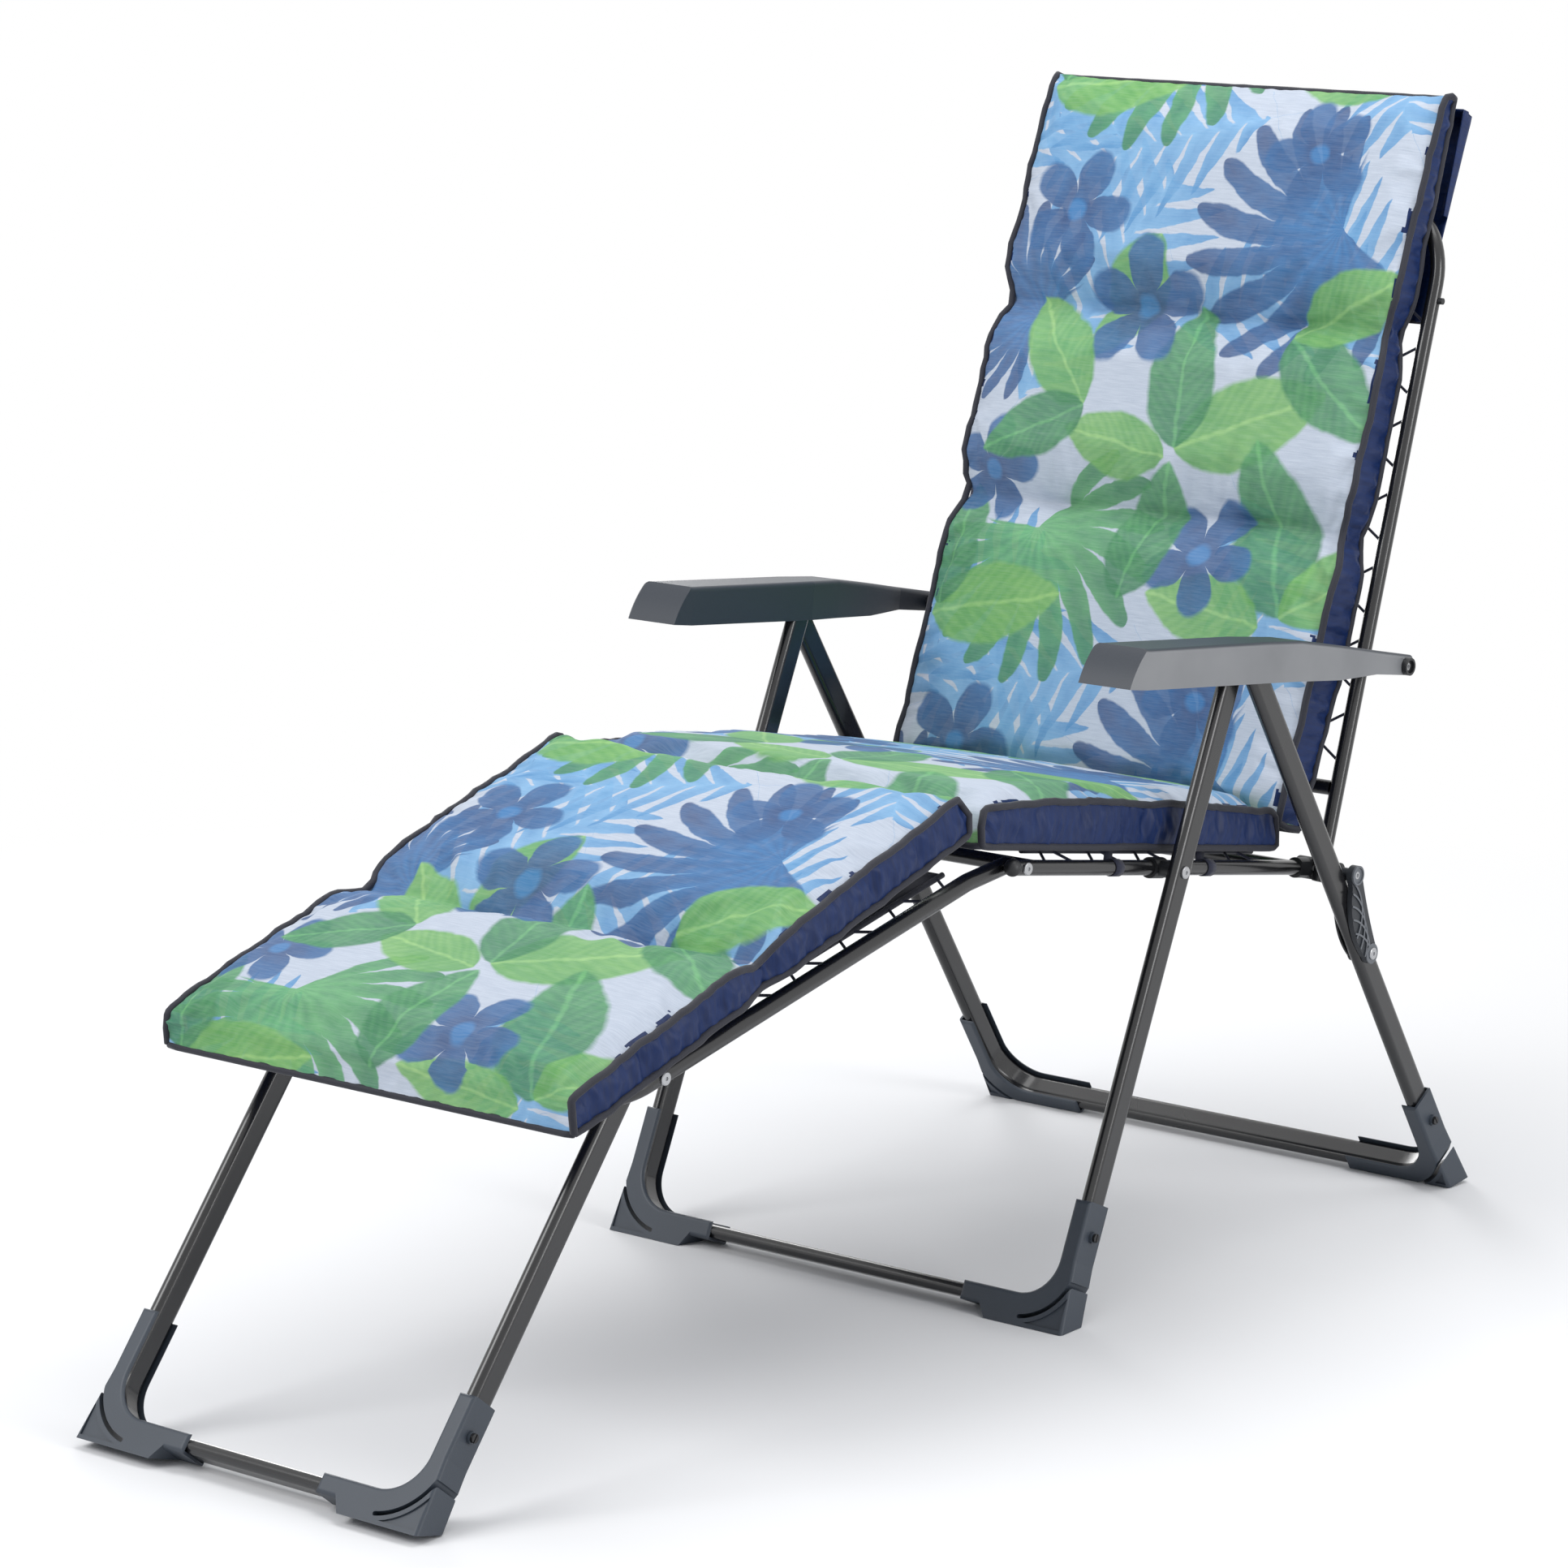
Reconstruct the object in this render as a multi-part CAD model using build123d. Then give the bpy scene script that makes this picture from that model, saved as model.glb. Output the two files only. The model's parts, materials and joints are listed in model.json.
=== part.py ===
"""Folding deck chair with a footrest, armrests on a notched rack and a padded cushion.

Millimetres. X runs across the chair, the sitter faces -Y, Z points up.
"""
from build123d import *
from math import atan2, cos, degrees, hypot, radians, sin, tan
import os

os.makedirs("parts", exist_ok=True)

# Side view: the pins that every frame turns on
crown_y = 347.2
crown_z = 647.0
front_lean = 24.4
rear_lean = 32.5
seat_pin_drop = 229.0
seat_tilt = 9.8
seat_pin_to_hinge = 289.0
seat_pin_to_footrest = 235.0
link_pin_drop = 413.5
back_lean = 18.2
arm_pin_rise = 228.0
footrest_tilt = 12.1
footrest_leg_set = 77.0
footrest_leg_lean = 39.0

# Places across the chair, from the middle to each centre line
front_leg_x = 285.0
rear_leg_x = 303.0
footrest_leg_x = 203.0
seat_rail_x = 255.0
back_tube_x = 272.0
footrest_rail_x = 236.0

# Tubes
leg_wide = 30.0
leg_thick = 14.0
leg_wall = 1.5
leg_bend = 52.0
rail_height = 14.5
rail_dia = 16.0
footrest_dia = 18.0
round_wall = 1.3
leg_top = 12.0

# Pins and clearances
pin_dia = 8.0
pin_play = 0.1
head_dia = 13.0
head_thick = 2.2
head_recess = 1.2
flat_gap = 0.3
cut_over = 5.0

# Feet
foot_wall = 3.0
foot_height = 115.0
foot_reach = 118.0
foot_flare = 6.0
foot_pad = 82.0
foot_pad_tilt = 9.0
foot_rib = 4.5
foot_pocket = 2.0
foot_slot = 4.5
foot_slot_start_angle = 20.0
foot_slot_end_angle = 80.0
foot_edge = 4.0
screw_dia = 4.0
screw_head = 9.0
screw_head_thick = 3.0
screw_drop = 34.0

# Seat frame
seat_cross_ahead = 36.0
seat_front_ahead = 20.0
seat_rail_past = 10.0
cap_dia = 18.0
saddle_length = 22.0
saddle_wall = 3.0
saddle_boss_dia = 17.0
hinge_block_length = 26.0
hinge_block_wall = 3.0
hinge_boss_dia = 24.0

# Slings and their lacing
sling_thick = 1.6
hem_dia = 6.0
sling_inset = 20.0
seat_sling_rise = 13.5
seat_sling_rear = 218.0
footrest_sling_rise = 4.0
back_sling_set = 6.5
lace_dia = 3.0
lace_pitch = 38.0
lace_gap = 0.1
footrest_sling_set = 122.0

# Link bracket between the seat hinge and each rear leg
plate_inner_thick = 2.4
plate_outer_thick = 6.0
plate_gap = 0.5
plate_half_width = 15.0
plate_top_radius = 10.5
plate_low_radius = 11.0
plate_bow = 13.0
barrel_dia = 13.0
rib_count = 5
rib_wide = 2.0
rib_high = 1.5

# Backrest
back_length = 735.0
back_bend = 95.0
back_tail = 13.0
back_low_bar = 88.0
stud_drop = 113.0
stud_dia = 7.0
stud_length = 5.0

# Armrest
arm_nose = 508.0
arm_tail = 12.0
arm_outer_x = 327.0
arm_wall = 3.0
arm_nose_low = -31.0
arm_nose_top = 10.0
arm_nose_rake = 31.0
arm_pin_low = -21.5
arm_pin_top = 21.0
arm_mid_along = 205.0
arm_mid_low = -19.0
arm_mid_top = 23.0
arm_rear_along = 124.0
arm_rear_low = -16.5
arm_rear_top = 19.5
arm_tongue_along = 56.0
arm_tongue_top = 15.5
arm_tail_low = -9.5
arm_tail_top = 12.0
arm_round = 5.0
arm_width_nose = 64.0
arm_width_pin = 57.0
arm_width_mid = 46.0
arm_width_rear = 30.0
arm_width_tail = 17.0
rack_thick = 8.0
rack_tip = 1.0
rack_notch = 5.0
rack_path_steps = 16
arm_follow_share = 0.694
rack_notch_count = 5
rack_recline = 12.0
rack_end = 14.0
rack_least = 1.0
bolt_ring_dia = 19.0
bolt_ring_thick = 6.0
bolt_ring_wall = 2.5
spacer_dia = 16.0

# Footrest
footrest_length = 622.0
footrest_bend_along = 64.0
footrest_bend_rise = 7.0
footrest_corner = 60.0
spacer_radius = 9.0

# Cushions
cushion_half = 260.0
cushion_clear = 2.0
crease_along = 227.0
crease_rise = 35.0
crease_lean = 24.0
crease_gap = 0.6
side_bulge = 5.0
seat_pad_front = 312.0
seat_pad_rear = 250.0
seat_pad_base = 17.0
seat_pad_side = 46.0
seat_pad_swell = 8.0
seat_pad_crown = 9.0
back_pad_low = 5.0
back_pad_top = 842.0
back_pad_low_front = -86.0
back_pad_low_rear = -42.0
back_pad_top_front = -32.0
back_pad_crown = 11.0
back_pad_rear_join = 240.0
back_pad_bend = 150.0
foot_pad_over = 68.0
foot_pad_rear = 74.0
foot_pad_low_base = 10.9
foot_pad_high_base = 64.0
foot_pad_side = 41.0
foot_pad_crown = 11.0
seam_half = 16.0
seam_dip = 9.0
seam_pinch = 6.0
end_round = 18.0
end_drop = 9.0
back_seams = (352.0, 576.0)
footrest_seams = (402.0,)
hood_foot = 600.0
hood_side_foot = 714.0
hood_wall = 3.0
hood_set_low = 14.0
hood_set_top = 33.0
tie_wide = 14.0
tie_thick = 1.2
tie_front_along = -74.0
tie_rear_along = 93.0


def along(angle, distance):
    """Side-view step of a distance at an angle above +Y."""
    return distance * cos(radians(angle)), distance * sin(radians(angle))


def step(point, angle, distance):
    dy, dz = along(angle, distance)
    return point[0] + dy, point[1] + dz


footrest_leg_reach = footrest_length - footrest_leg_set
footrest_sling_reach = footrest_length - footrest_sling_set
foot_pad_front = footrest_length + foot_pad_over
stud_rise = back_length - stud_drop

crown = (crown_y, crown_z)
seat_pin = step(crown, -90.0 - front_lean, seat_pin_drop)
hinge = step(seat_pin, -seat_tilt, seat_pin_to_hinge)
footrest_pin = step(seat_pin, 180.0 - seat_tilt, seat_pin_to_footrest)
link_pin = step(crown, -90.0 + rear_lean, link_pin_drop)
arm_pin = step(hinge, 90.0 - back_lean, arm_pin_rise)
arm_reach = hypot(arm_pin[0] - crown[0], arm_pin[1] - crown[1])
arm_tilt = degrees(atan2(arm_pin[1] - crown[1], arm_pin[0] - crown[0]))


def in_footrest(back, rise):
    """Side-view place of a point of the footrest's own frame."""
    dy, dz = along(footrest_tilt, back)
    ry, rz = along(footrest_tilt + 90.0, rise)
    return footrest_pin[0] + dy + ry, footrest_pin[1] + dz + rz


footrest_leg_pin = in_footrest(-footrest_leg_reach, footrest_bend_rise)


def place(shape, pivot, angle):
    """Turn a shape about X and set its own origin on a side-view point."""
    return Pos(0, pivot[0], pivot[1]) * Rot(angle, 0, 0) * shape


def both(shape):
    return [shape, mirror(shape, about=Plane.YZ)]


def save(name, *shapes):
    solids = []
    for shape in shapes:
        solids += shape.solids()
    export_step(Compound(children=solids) if len(solids) > 1 else solids[0], f"parts/{name}.step")


def rod(radius, start, end):
    """Round bar between two points."""
    line = Vector(*end) - Vector(*start)
    return Plane(origin=start, z_dir=line) * Cylinder(
        radius, line.length, align=(Align.CENTER, Align.CENTER, Align.MIN)
    )


def pipe(radius, bore, start, end):
    """Round bar with a bore right through it."""
    return rod(radius, start, end) - rod(bore, start, end)


def cross_bar(radius, x_from, x_to, y=0.0, z=0.0):
    """Round bar along X."""
    return rod(radius, (x_from, y, z), (x_to, y, z))


def block(x_from, x_to, y_from, y_to, z_from, z_to):
    return Pos((x_from + x_to) / 2, (y_from + y_to) / 2, (z_from + z_to) / 2) * Box(
        x_to - x_from, y_to - y_from, z_to - z_from
    )


def prism(points, x_from, x_to):
    """Side-view outline (y, z) pushed from one x to another."""
    outline = Polyline(*[(0, y, z) for y, z in points], close=True)
    return Pos(x_from, 0, 0) * extrude(make_face(outline), amount=x_to - x_from, dir=(1, 0, 0))


def round_tube(points, bend, dia):
    """Hollow round tube on a bent path."""
    path = FilletPolyline(*points, radius=bend)
    ring = Circle(dia / 2) - Circle(dia / 2 - round_wall)
    return sweep(Plane(origin=path @ 0, z_dir=path % 0) * ring, path=path)


pin_radius = pin_dia / 2
bore_radius = pin_radius + pin_play
leg_half = leg_thick / 2
front_inner = front_leg_x - leg_half
front_outer = front_leg_x + leg_half
rear_inner = rear_leg_x - leg_half
rear_outer = rear_leg_x + leg_half


def rivet_head(x, outward, y=0.0, z=0.0):
    """Domed-edge head with a drilled centre, lying on the face at x."""
    head = cross_bar(head_dia / 2, x, x + outward * head_thick, y, z)
    head = chamfer(head.faces().sort_by(Axis.X)[-1 if outward > 0 else 0].edges(), head_thick / 3)
    face = x + outward * head_thick
    return head - cross_bar(pin_radius / 2, face - outward * head_recess, face + outward * cut_over, y, z)


def leg_frame(half_spread, length, pins):
    """U of flat-oval tube hung from its top pin; pins lists (drop, bore radius)."""
    top = (half_spread, 0, leg_top)
    path = FilletPolyline(
        (-half_spread, 0, leg_top), (-half_spread, 0, -length), (half_spread, 0, -length), top,
        radius=leg_bend,
    )
    section = SlotOverall(leg_wide, leg_thick) - SlotOverall(
        leg_wide - 2 * leg_wall, leg_thick - 2 * leg_wall
    )
    start = Plane(origin=path @ 0, x_dir=(0, 1, 0), z_dir=path % 0)
    frame = sweep(start * section, path=path)
    for side in (-1, 1):
        x = side * half_spread
        crown_cut = block(
            x - leg_thick, x + leg_thick, -leg_wide, leg_wide, 0, leg_wide
        ) - cross_bar(leg_wide / 2, x - leg_thick, x + leg_thick)
        frame -= crown_cut
        for drop, radius in pins:
            frame -= cross_bar(radius, x - leg_thick, x + leg_thick, 0, -drop)
    return frame


foot_depth = leg_wide / 2 + foot_wall
sole_drop = rail_height / cos(radians(front_lean))
sole_tilt = foot_depth * tan(radians(front_lean))


def foot(half_spread, front, length):
    """L-shaped foot on the +X corner, in the leg's own frame with the rail at -length.

    Every foot has the front legs' sole angle; front is the side (-1 or 1) where it runs deeper.
    """
    out = half_spread + leg_half + foot_wall
    inn = half_spread - leg_half - foot_wall
    low = -leg_half - foot_wall
    top = leg_half + foot_wall
    pad_x = half_spread - foot_pad
    reach_x = half_spread - foot_reach
    inner_bend = leg_bend - leg_half - foot_wall
    deep = -sole_drop - sole_tilt
    with BuildSketch(Plane.XZ) as blank:
        with BuildLine():
            Polyline(
                (out, foot_height), (out, leg_bend), (out + foot_flare, deep), (pad_x, deep),
                (pad_x - foot_pad_tilt, low), (reach_x, low), (reach_x, top), (inn - inner_bend, top),
            )
            RadiusArc((inn - inner_bend, top), (inn, top + inner_bend), -inner_bend)
            Polyline((inn, top + inner_bend), (inn, foot_height), (out, foot_height))
        make_face()
    body = extrude(blank.sketch, amount=foot_depth, both=True)
    for face in (body.faces().sort_by(Axis.Y)[0], body.faces().sort_by(Axis.Y)[-1]):
        rim = [e for e in face.edges() if e.center().Z > deep + foot_pad_tilt]
        body = fillet([e for e in body.edges() if any(e.center() == r.center() for r in rim)], foot_edge)
    size = 4 * foot_height
    under = Box(size, size, size, align=(Align.CENTER, Align.CENTER, Align.MAX))
    body -= Pos(half_spread, 0, -sole_drop) * Rot(-front * front_lean, 0, 0) * under
    # Room for the tube, open on the inside of the bend
    gap = flat_gap / 2
    tube_out = half_spread + leg_half + gap
    tube_low = -leg_half - gap
    outer_bend = leg_bend + leg_half + gap
    far = half_spread - foot_reach - cut_over
    with BuildSketch(Plane.XZ) as room:
        with BuildLine():
            Polyline(
                (tube_out, foot_height + cut_over), (tube_out, tube_low + outer_bend),
            )
            RadiusArc(
                (tube_out, tube_low + outer_bend), (tube_out - outer_bend, tube_low), outer_bend
            )
            Polyline(
                (tube_out - outer_bend, tube_low), (far, tube_low), (far, foot_height + cut_over),
                (tube_out, foot_height + cut_over),
            )
        make_face()
    body -= extrude(room.sketch, amount=leg_wide / 2 + gap, both=True)
    body = cut_heel(body, half_spread, front, out + foot_flare)
    # Boss for the screw that holds the moulding to the tube
    screw_z = foot_height - screw_drop
    boss = cross_bar(screw_head / 2 + foot_wall / 2, half_spread, out + foot_wall, 0, screw_z)
    boss -= cross_bar(leg_wide, half_spread - leg_half, tube_out, 0, screw_z)
    body += boss
    body -= cross_bar(screw_dia / 2, half_spread, out + foot_flare, 0, screw_z)
    return Pos(0, 0, -length) * body


def cut_heel(body, half_spread, front, heel_x):
    """Curved slot round the tube's bend and the three-cornered pocket beyond it."""
    centre = (half_spread - leg_bend, leg_bend)
    inside = leg_bend + leg_half + 2 * foot_wall
    outside = inside + foot_slot
    middle = (inside + outside) / 2

    def on_arc(radius, angle):
        return (centre[0] + radius * cos(radians(angle)), centre[1] - radius * sin(radians(angle)))

    with BuildSketch(Plane.XZ) as slot:
        with BuildLine():
            RadiusArc(on_arc(inside, foot_slot_start_angle), on_arc(inside, foot_slot_end_angle), inside)
            RadiusArc(on_arc(outside, foot_slot_start_angle), on_arc(outside, foot_slot_end_angle), outside)
            Line(on_arc(inside, foot_slot_start_angle), on_arc(outside, foot_slot_start_angle))
            Line(on_arc(inside, foot_slot_end_angle), on_arc(outside, foot_slot_end_angle))
        make_face()
        for angle in (foot_slot_start_angle, foot_slot_end_angle):
            with Locations(on_arc(middle, angle)):
                Circle(foot_slot / 2)
    body -= extrude(slot.sketch, amount=foot_depth + cut_over, both=True)
    ring = cylinder_y(outside + foot_rib, centre)
    for side in (-1, 1):
        floor = -sole_drop - side * front * sole_tilt + foot_rib
        first = foot_depth - foot_pocket
        y_ends = sorted((side * first, side * (foot_depth + cut_over)))
        corner = block(centre[0], heel_x - foot_rib, *y_ends, floor, centre[1] - foot_rib)
        body -= corner - ring
    return body


def cylinder_y(radius, centre):
    """Long round bar along Y through a front-view point."""
    return rod(radius, (centre[0], -2 * foot_depth, centre[1]), (centre[0], 2 * foot_depth, centre[1]))


def foot_screw(half_spread, length):
    """Screw through the boss into the tube."""
    out = half_spread + leg_half + foot_wall + foot_wall
    z = foot_height - screw_drop - length
    head = cross_bar(screw_head / 2, out, out + screw_head_thick, 0, z)
    shank = cross_bar(screw_dia / 2, half_spread + leg_half, out, 0, z)
    cross = block(
        out + screw_head_thick / 2, out + screw_head_thick + cut_over,
        -screw_dia / 6, screw_dia / 6, z - screw_head / 2, z + screw_head / 2,
    )
    return head + shank - cross


def leg_length(pivot_z, lean):
    """Drop from the top pin to the rail's centre line, so that the foot meets the floor."""
    rise = foot_depth * sin(radians(lean)) + (sole_drop - sole_tilt) * cos(radians(lean))
    return (pivot_z - rise) / cos(radians(lean))


front_length = leg_length(crown[1], front_lean)
rear_length = leg_length(crown[1], rear_lean)
footrest_leg_length = leg_length(footrest_leg_pin[1], footrest_leg_lean)


def write_leg_set(label, half_spread, pivot, turn, length, pins):
    """Frame, two feet and their screws for one U of legs."""
    frame = leg_frame(half_spread, length, pins)
    hole = cross_bar(screw_dia / 2, half_spread, half_spread + leg_thick,
                     0, foot_height - screw_drop - length)
    for cut in both(hole):
        frame -= cut
    save(f"{label}_leg_frame", place(frame, pivot, turn))
    moulding = foot(half_spread, 1 if turn > 0 else -1, length)
    screws = []
    for side, shape in zip(("left", "right"), both(moulding)):
        save(f"{label}_foot_{side}", place(shape, pivot, turn))
    for shape in both(foot_screw(half_spread, length)):
        screws.append(place(shape, pivot, turn))
    save(f"{label}_foot_screws", *screws)


def write_legs():
    write_leg_set("front", front_leg_x, crown, -front_lean, front_length,
                  [(0, bore_radius), (seat_pin_drop, bore_radius)])
    write_leg_set("rear", rear_leg_x, crown, rear_lean, rear_length,
                  [(0, bore_radius), (link_pin_drop, pin_radius)])
    write_leg_set("footrest", footrest_leg_x, footrest_leg_pin, -footrest_leg_lean,
                  footrest_leg_length, [(0, bore_radius)])


def write_crown_pins():
    """Pins that carry the armrest racks and join front and rear legs."""
    rack_outer = arm_outer_x - arm_wall - flat_gap
    pin = cross_bar(pin_radius, front_inner - head_thick, rack_outer)
    head = cross_bar(head_dia / 2, front_inner - head_thick, front_inner - pin_play)
    washer = pipe_x(head_dia / 2, bore_radius, front_outer + plate_gap, rear_inner - plate_gap)
    save("crown_pins", *[place(s, crown, 0) for s in both(pin + head)])
    save("crown_washers", *[place(s, crown, 0) for s in both(washer)])
    rivet = cross_bar(pin_radius, rear_inner, rear_outer)
    save("rear_leg_rivets", *[place(s, link_pin, 0) for s in both(rivet)])


def pipe_x(radius, bore, x_from, x_to, y=0.0, z=0.0):
    """Bush along X."""
    return pipe(radius, bore, (x_from, y, z), (x_to, y, z))


rail_radius = rail_dia / 2
rail_inner = seat_rail_x - rail_radius
rail_outer = seat_rail_x + rail_radius
back_inner = back_tube_x - rail_radius
back_outer = back_tube_x + rail_radius


def write_seat_frame():
    """Two side rails and two cross tubes, welded."""
    rear = seat_pin_to_hinge
    front = -seat_pin_to_footrest
    core = rail_radius - round_wall
    frame = None
    for side in (-1, 1):
        rail = rod(rail_radius, (side * seat_rail_x, front - seat_rail_past, 0),
                   (side * seat_rail_x, rear, 0))
        frame = rail if frame is None else frame + rail
    for y in (rear - seat_cross_ahead, front + seat_front_ahead):
        frame += cross_bar(rail_radius, -seat_rail_x, seat_rail_x, y)
    for side in (-1, 1):
        frame -= rod(core, (side * seat_rail_x, front - seat_rail_past, 0),
                     (side * seat_rail_x, rear, 0))
        for y in (0, front, rear):
            frame -= cross_bar(
                bore_radius if y != front else pin_radius,
                side * (seat_rail_x - rail_dia), side * (seat_rail_x + rail_dia), y,
            )
    save("seat_frame", place(frame, seat_pin, -seat_tilt))


def write_seat_fittings():
    rear = seat_pin_to_hinge
    front = -seat_pin_to_footrest
    # Ball-nosed plug over the open front end of each rail
    end = front - seat_rail_past
    cap = Pos(seat_rail_x, end - rail_radius / 2, 0) * Sphere(cap_dia / 2)
    cap -= block(0, 2 * seat_rail_x, end, end + cap_dia, -cap_dia, cap_dia)
    # Saddle round the rail, with the boss that spaces it off the front leg
    half = saddle_length / 2
    ring = rail_radius + saddle_wall
    saddle = rod(ring, (seat_rail_x, -half, 0), (seat_rail_x, half, 0))
    saddle += cross_bar(saddle_boss_dia / 2, seat_rail_x, front_inner - flat_gap)
    saddle -= rod(rail_radius, (seat_rail_x, -saddle_length, 0), (seat_rail_x, saddle_length, 0))
    saddle -= cross_bar(bore_radius, rail_inner - cut_over, front_inner)
    # Moulded block over the rear end of the rail, round the hinge pin
    shell = rail_radius + hinge_block_wall
    side_play = (back_inner - rail_outer) / 2
    block_shape = rod(shell, (seat_rail_x, rear - hinge_block_length, 0), (seat_rail_x, rear, 0))
    block_shape += cross_bar(hinge_boss_dia / 2, rail_inner - hinge_block_wall, rail_outer, rear)
    block_shape -= block(rail_outer + side_play / 2, rail_outer + shell * 2,
                         rear - 2 * hinge_block_length, rear + 2 * shell, -2 * shell, 2 * shell)
    block_shape -= rod(rail_radius, (seat_rail_x, rear - hinge_block_length - cut_over, 0),
                       (seat_rail_x, rear, 0))
    block_shape -= cross_bar(bore_radius, rail_inner - 2 * shell, rail_outer + shell, rear)
    # Rivets through front leg, saddle and rail
    inside = rail_inner - saddle_wall
    rivet = cross_bar(pin_radius, inside - head_thick, front_outer + flat_gap)
    rivet += rivet_head(front_outer + flat_gap, 1)
    rivet += cross_bar(head_dia / 2, inside - head_thick, inside)
    # Bolts of the footrest hinge
    foot_inner = footrest_rail_x - footrest_dia / 2
    bolt = cross_bar(pin_radius, foot_inner - head_thick, rail_outer + pin_play, front)
    bolt += rivet_head(rail_outer + pin_play, 1, front)
    bolt += cross_bar(head_dia / 2, foot_inner - head_thick, foot_inner - pin_play, front)
    for name, shape in (
        ("seat_front_caps", cap),
        ("seat_saddles", saddle),
        ("seat_hinge_blocks", block_shape),
        ("seat_rivets", rivet),
        ("footrest_hinge_bolts", bolt),
    ):
        save(name, *[place(s, seat_pin, -seat_tilt) for s in both(shape)])


def sling(half, y_from, y_to, z):
    """Woven panel with a rolled hem down each side."""
    panel = block(-half, half, y_from, y_to, z - sling_thick / 2, z + sling_thick / 2)
    for side in (-1, 1):
        panel += rod(hem_dia / 2, (side * half, y_from, z), (side * half, y_to, z))
    return panel


def lacing(hem_x, hem_z, rail_x, rail_r, y_from, y_to):
    """Elastic ties that zigzag from the hem to the rail."""
    count = int((y_to - y_from) / lace_pitch)
    pitch = (y_to - y_from) / count
    hem = rod(hem_dia / 2 + lace_gap, (hem_x, y_from - lace_pitch, hem_z), (hem_x, y_to + lace_pitch, hem_z))
    rail = rod(rail_r + lace_gap, (rail_x, y_from - lace_pitch, 0), (rail_x, y_to + lace_pitch, 0))
    ties = []
    for k in range(count):
        middle = y_from + (k + 0.5) * pitch
        lean = pitch / 4 if k % 2 else -pitch / 4
        tie = rod(lace_dia / 2, (hem_x, middle - lean, hem_z), (rail_x, middle + lean, 0))
        ties += both(tie - hem - rail)
    return ties


def write_seat_sling():
    half = rail_inner - sling_inset
    y_from = -seat_pin_to_footrest + seat_front_ahead + rail_dia
    y_to = seat_sling_rear
    panel = sling(half, y_from, y_to, seat_sling_rise)
    save("seat_sling", place(panel, seat_pin, -seat_tilt))
    ties = lacing(half, seat_sling_rise, seat_rail_x, rail_radius, y_from, y_to)
    save("seat_lacing", *[place(s, seat_pin, -seat_tilt) for s in ties])


def link_axis():
    """Length and tilt of the line from the hinge to the rear-leg rivet."""
    dy = link_pin[0] - hinge[0]
    dz = link_pin[1] - hinge[1]
    return hypot(dy, dz), degrees(atan2(dy, -dz))


def plate_face(length):
    """Bowed plate from the hinge eye at the origin down to the rivet."""
    front_mid = -plate_half_width - plate_bow / 2
    rear_mid = plate_half_width - plate_bow / 2
    with BuildSketch(Plane.YZ) as face:
        with BuildLine():
            Line((-plate_top_radius, 0), (-plate_top_radius, 0 - plate_top_radius))
            ThreePointArc(
                (-plate_top_radius, -plate_top_radius),
                (front_mid, -length / 2),
                (-plate_low_radius, -length),
            )
            RadiusArc((-plate_low_radius, -length), (plate_low_radius, -length), -plate_low_radius)
            ThreePointArc(
                (plate_low_radius, -length), (rear_mid, -length / 2), (plate_top_radius, 0)
            )
            RadiusArc((plate_top_radius, 0), (-plate_top_radius, 0), -plate_top_radius)
        make_face()
    return face.sketch


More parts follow.
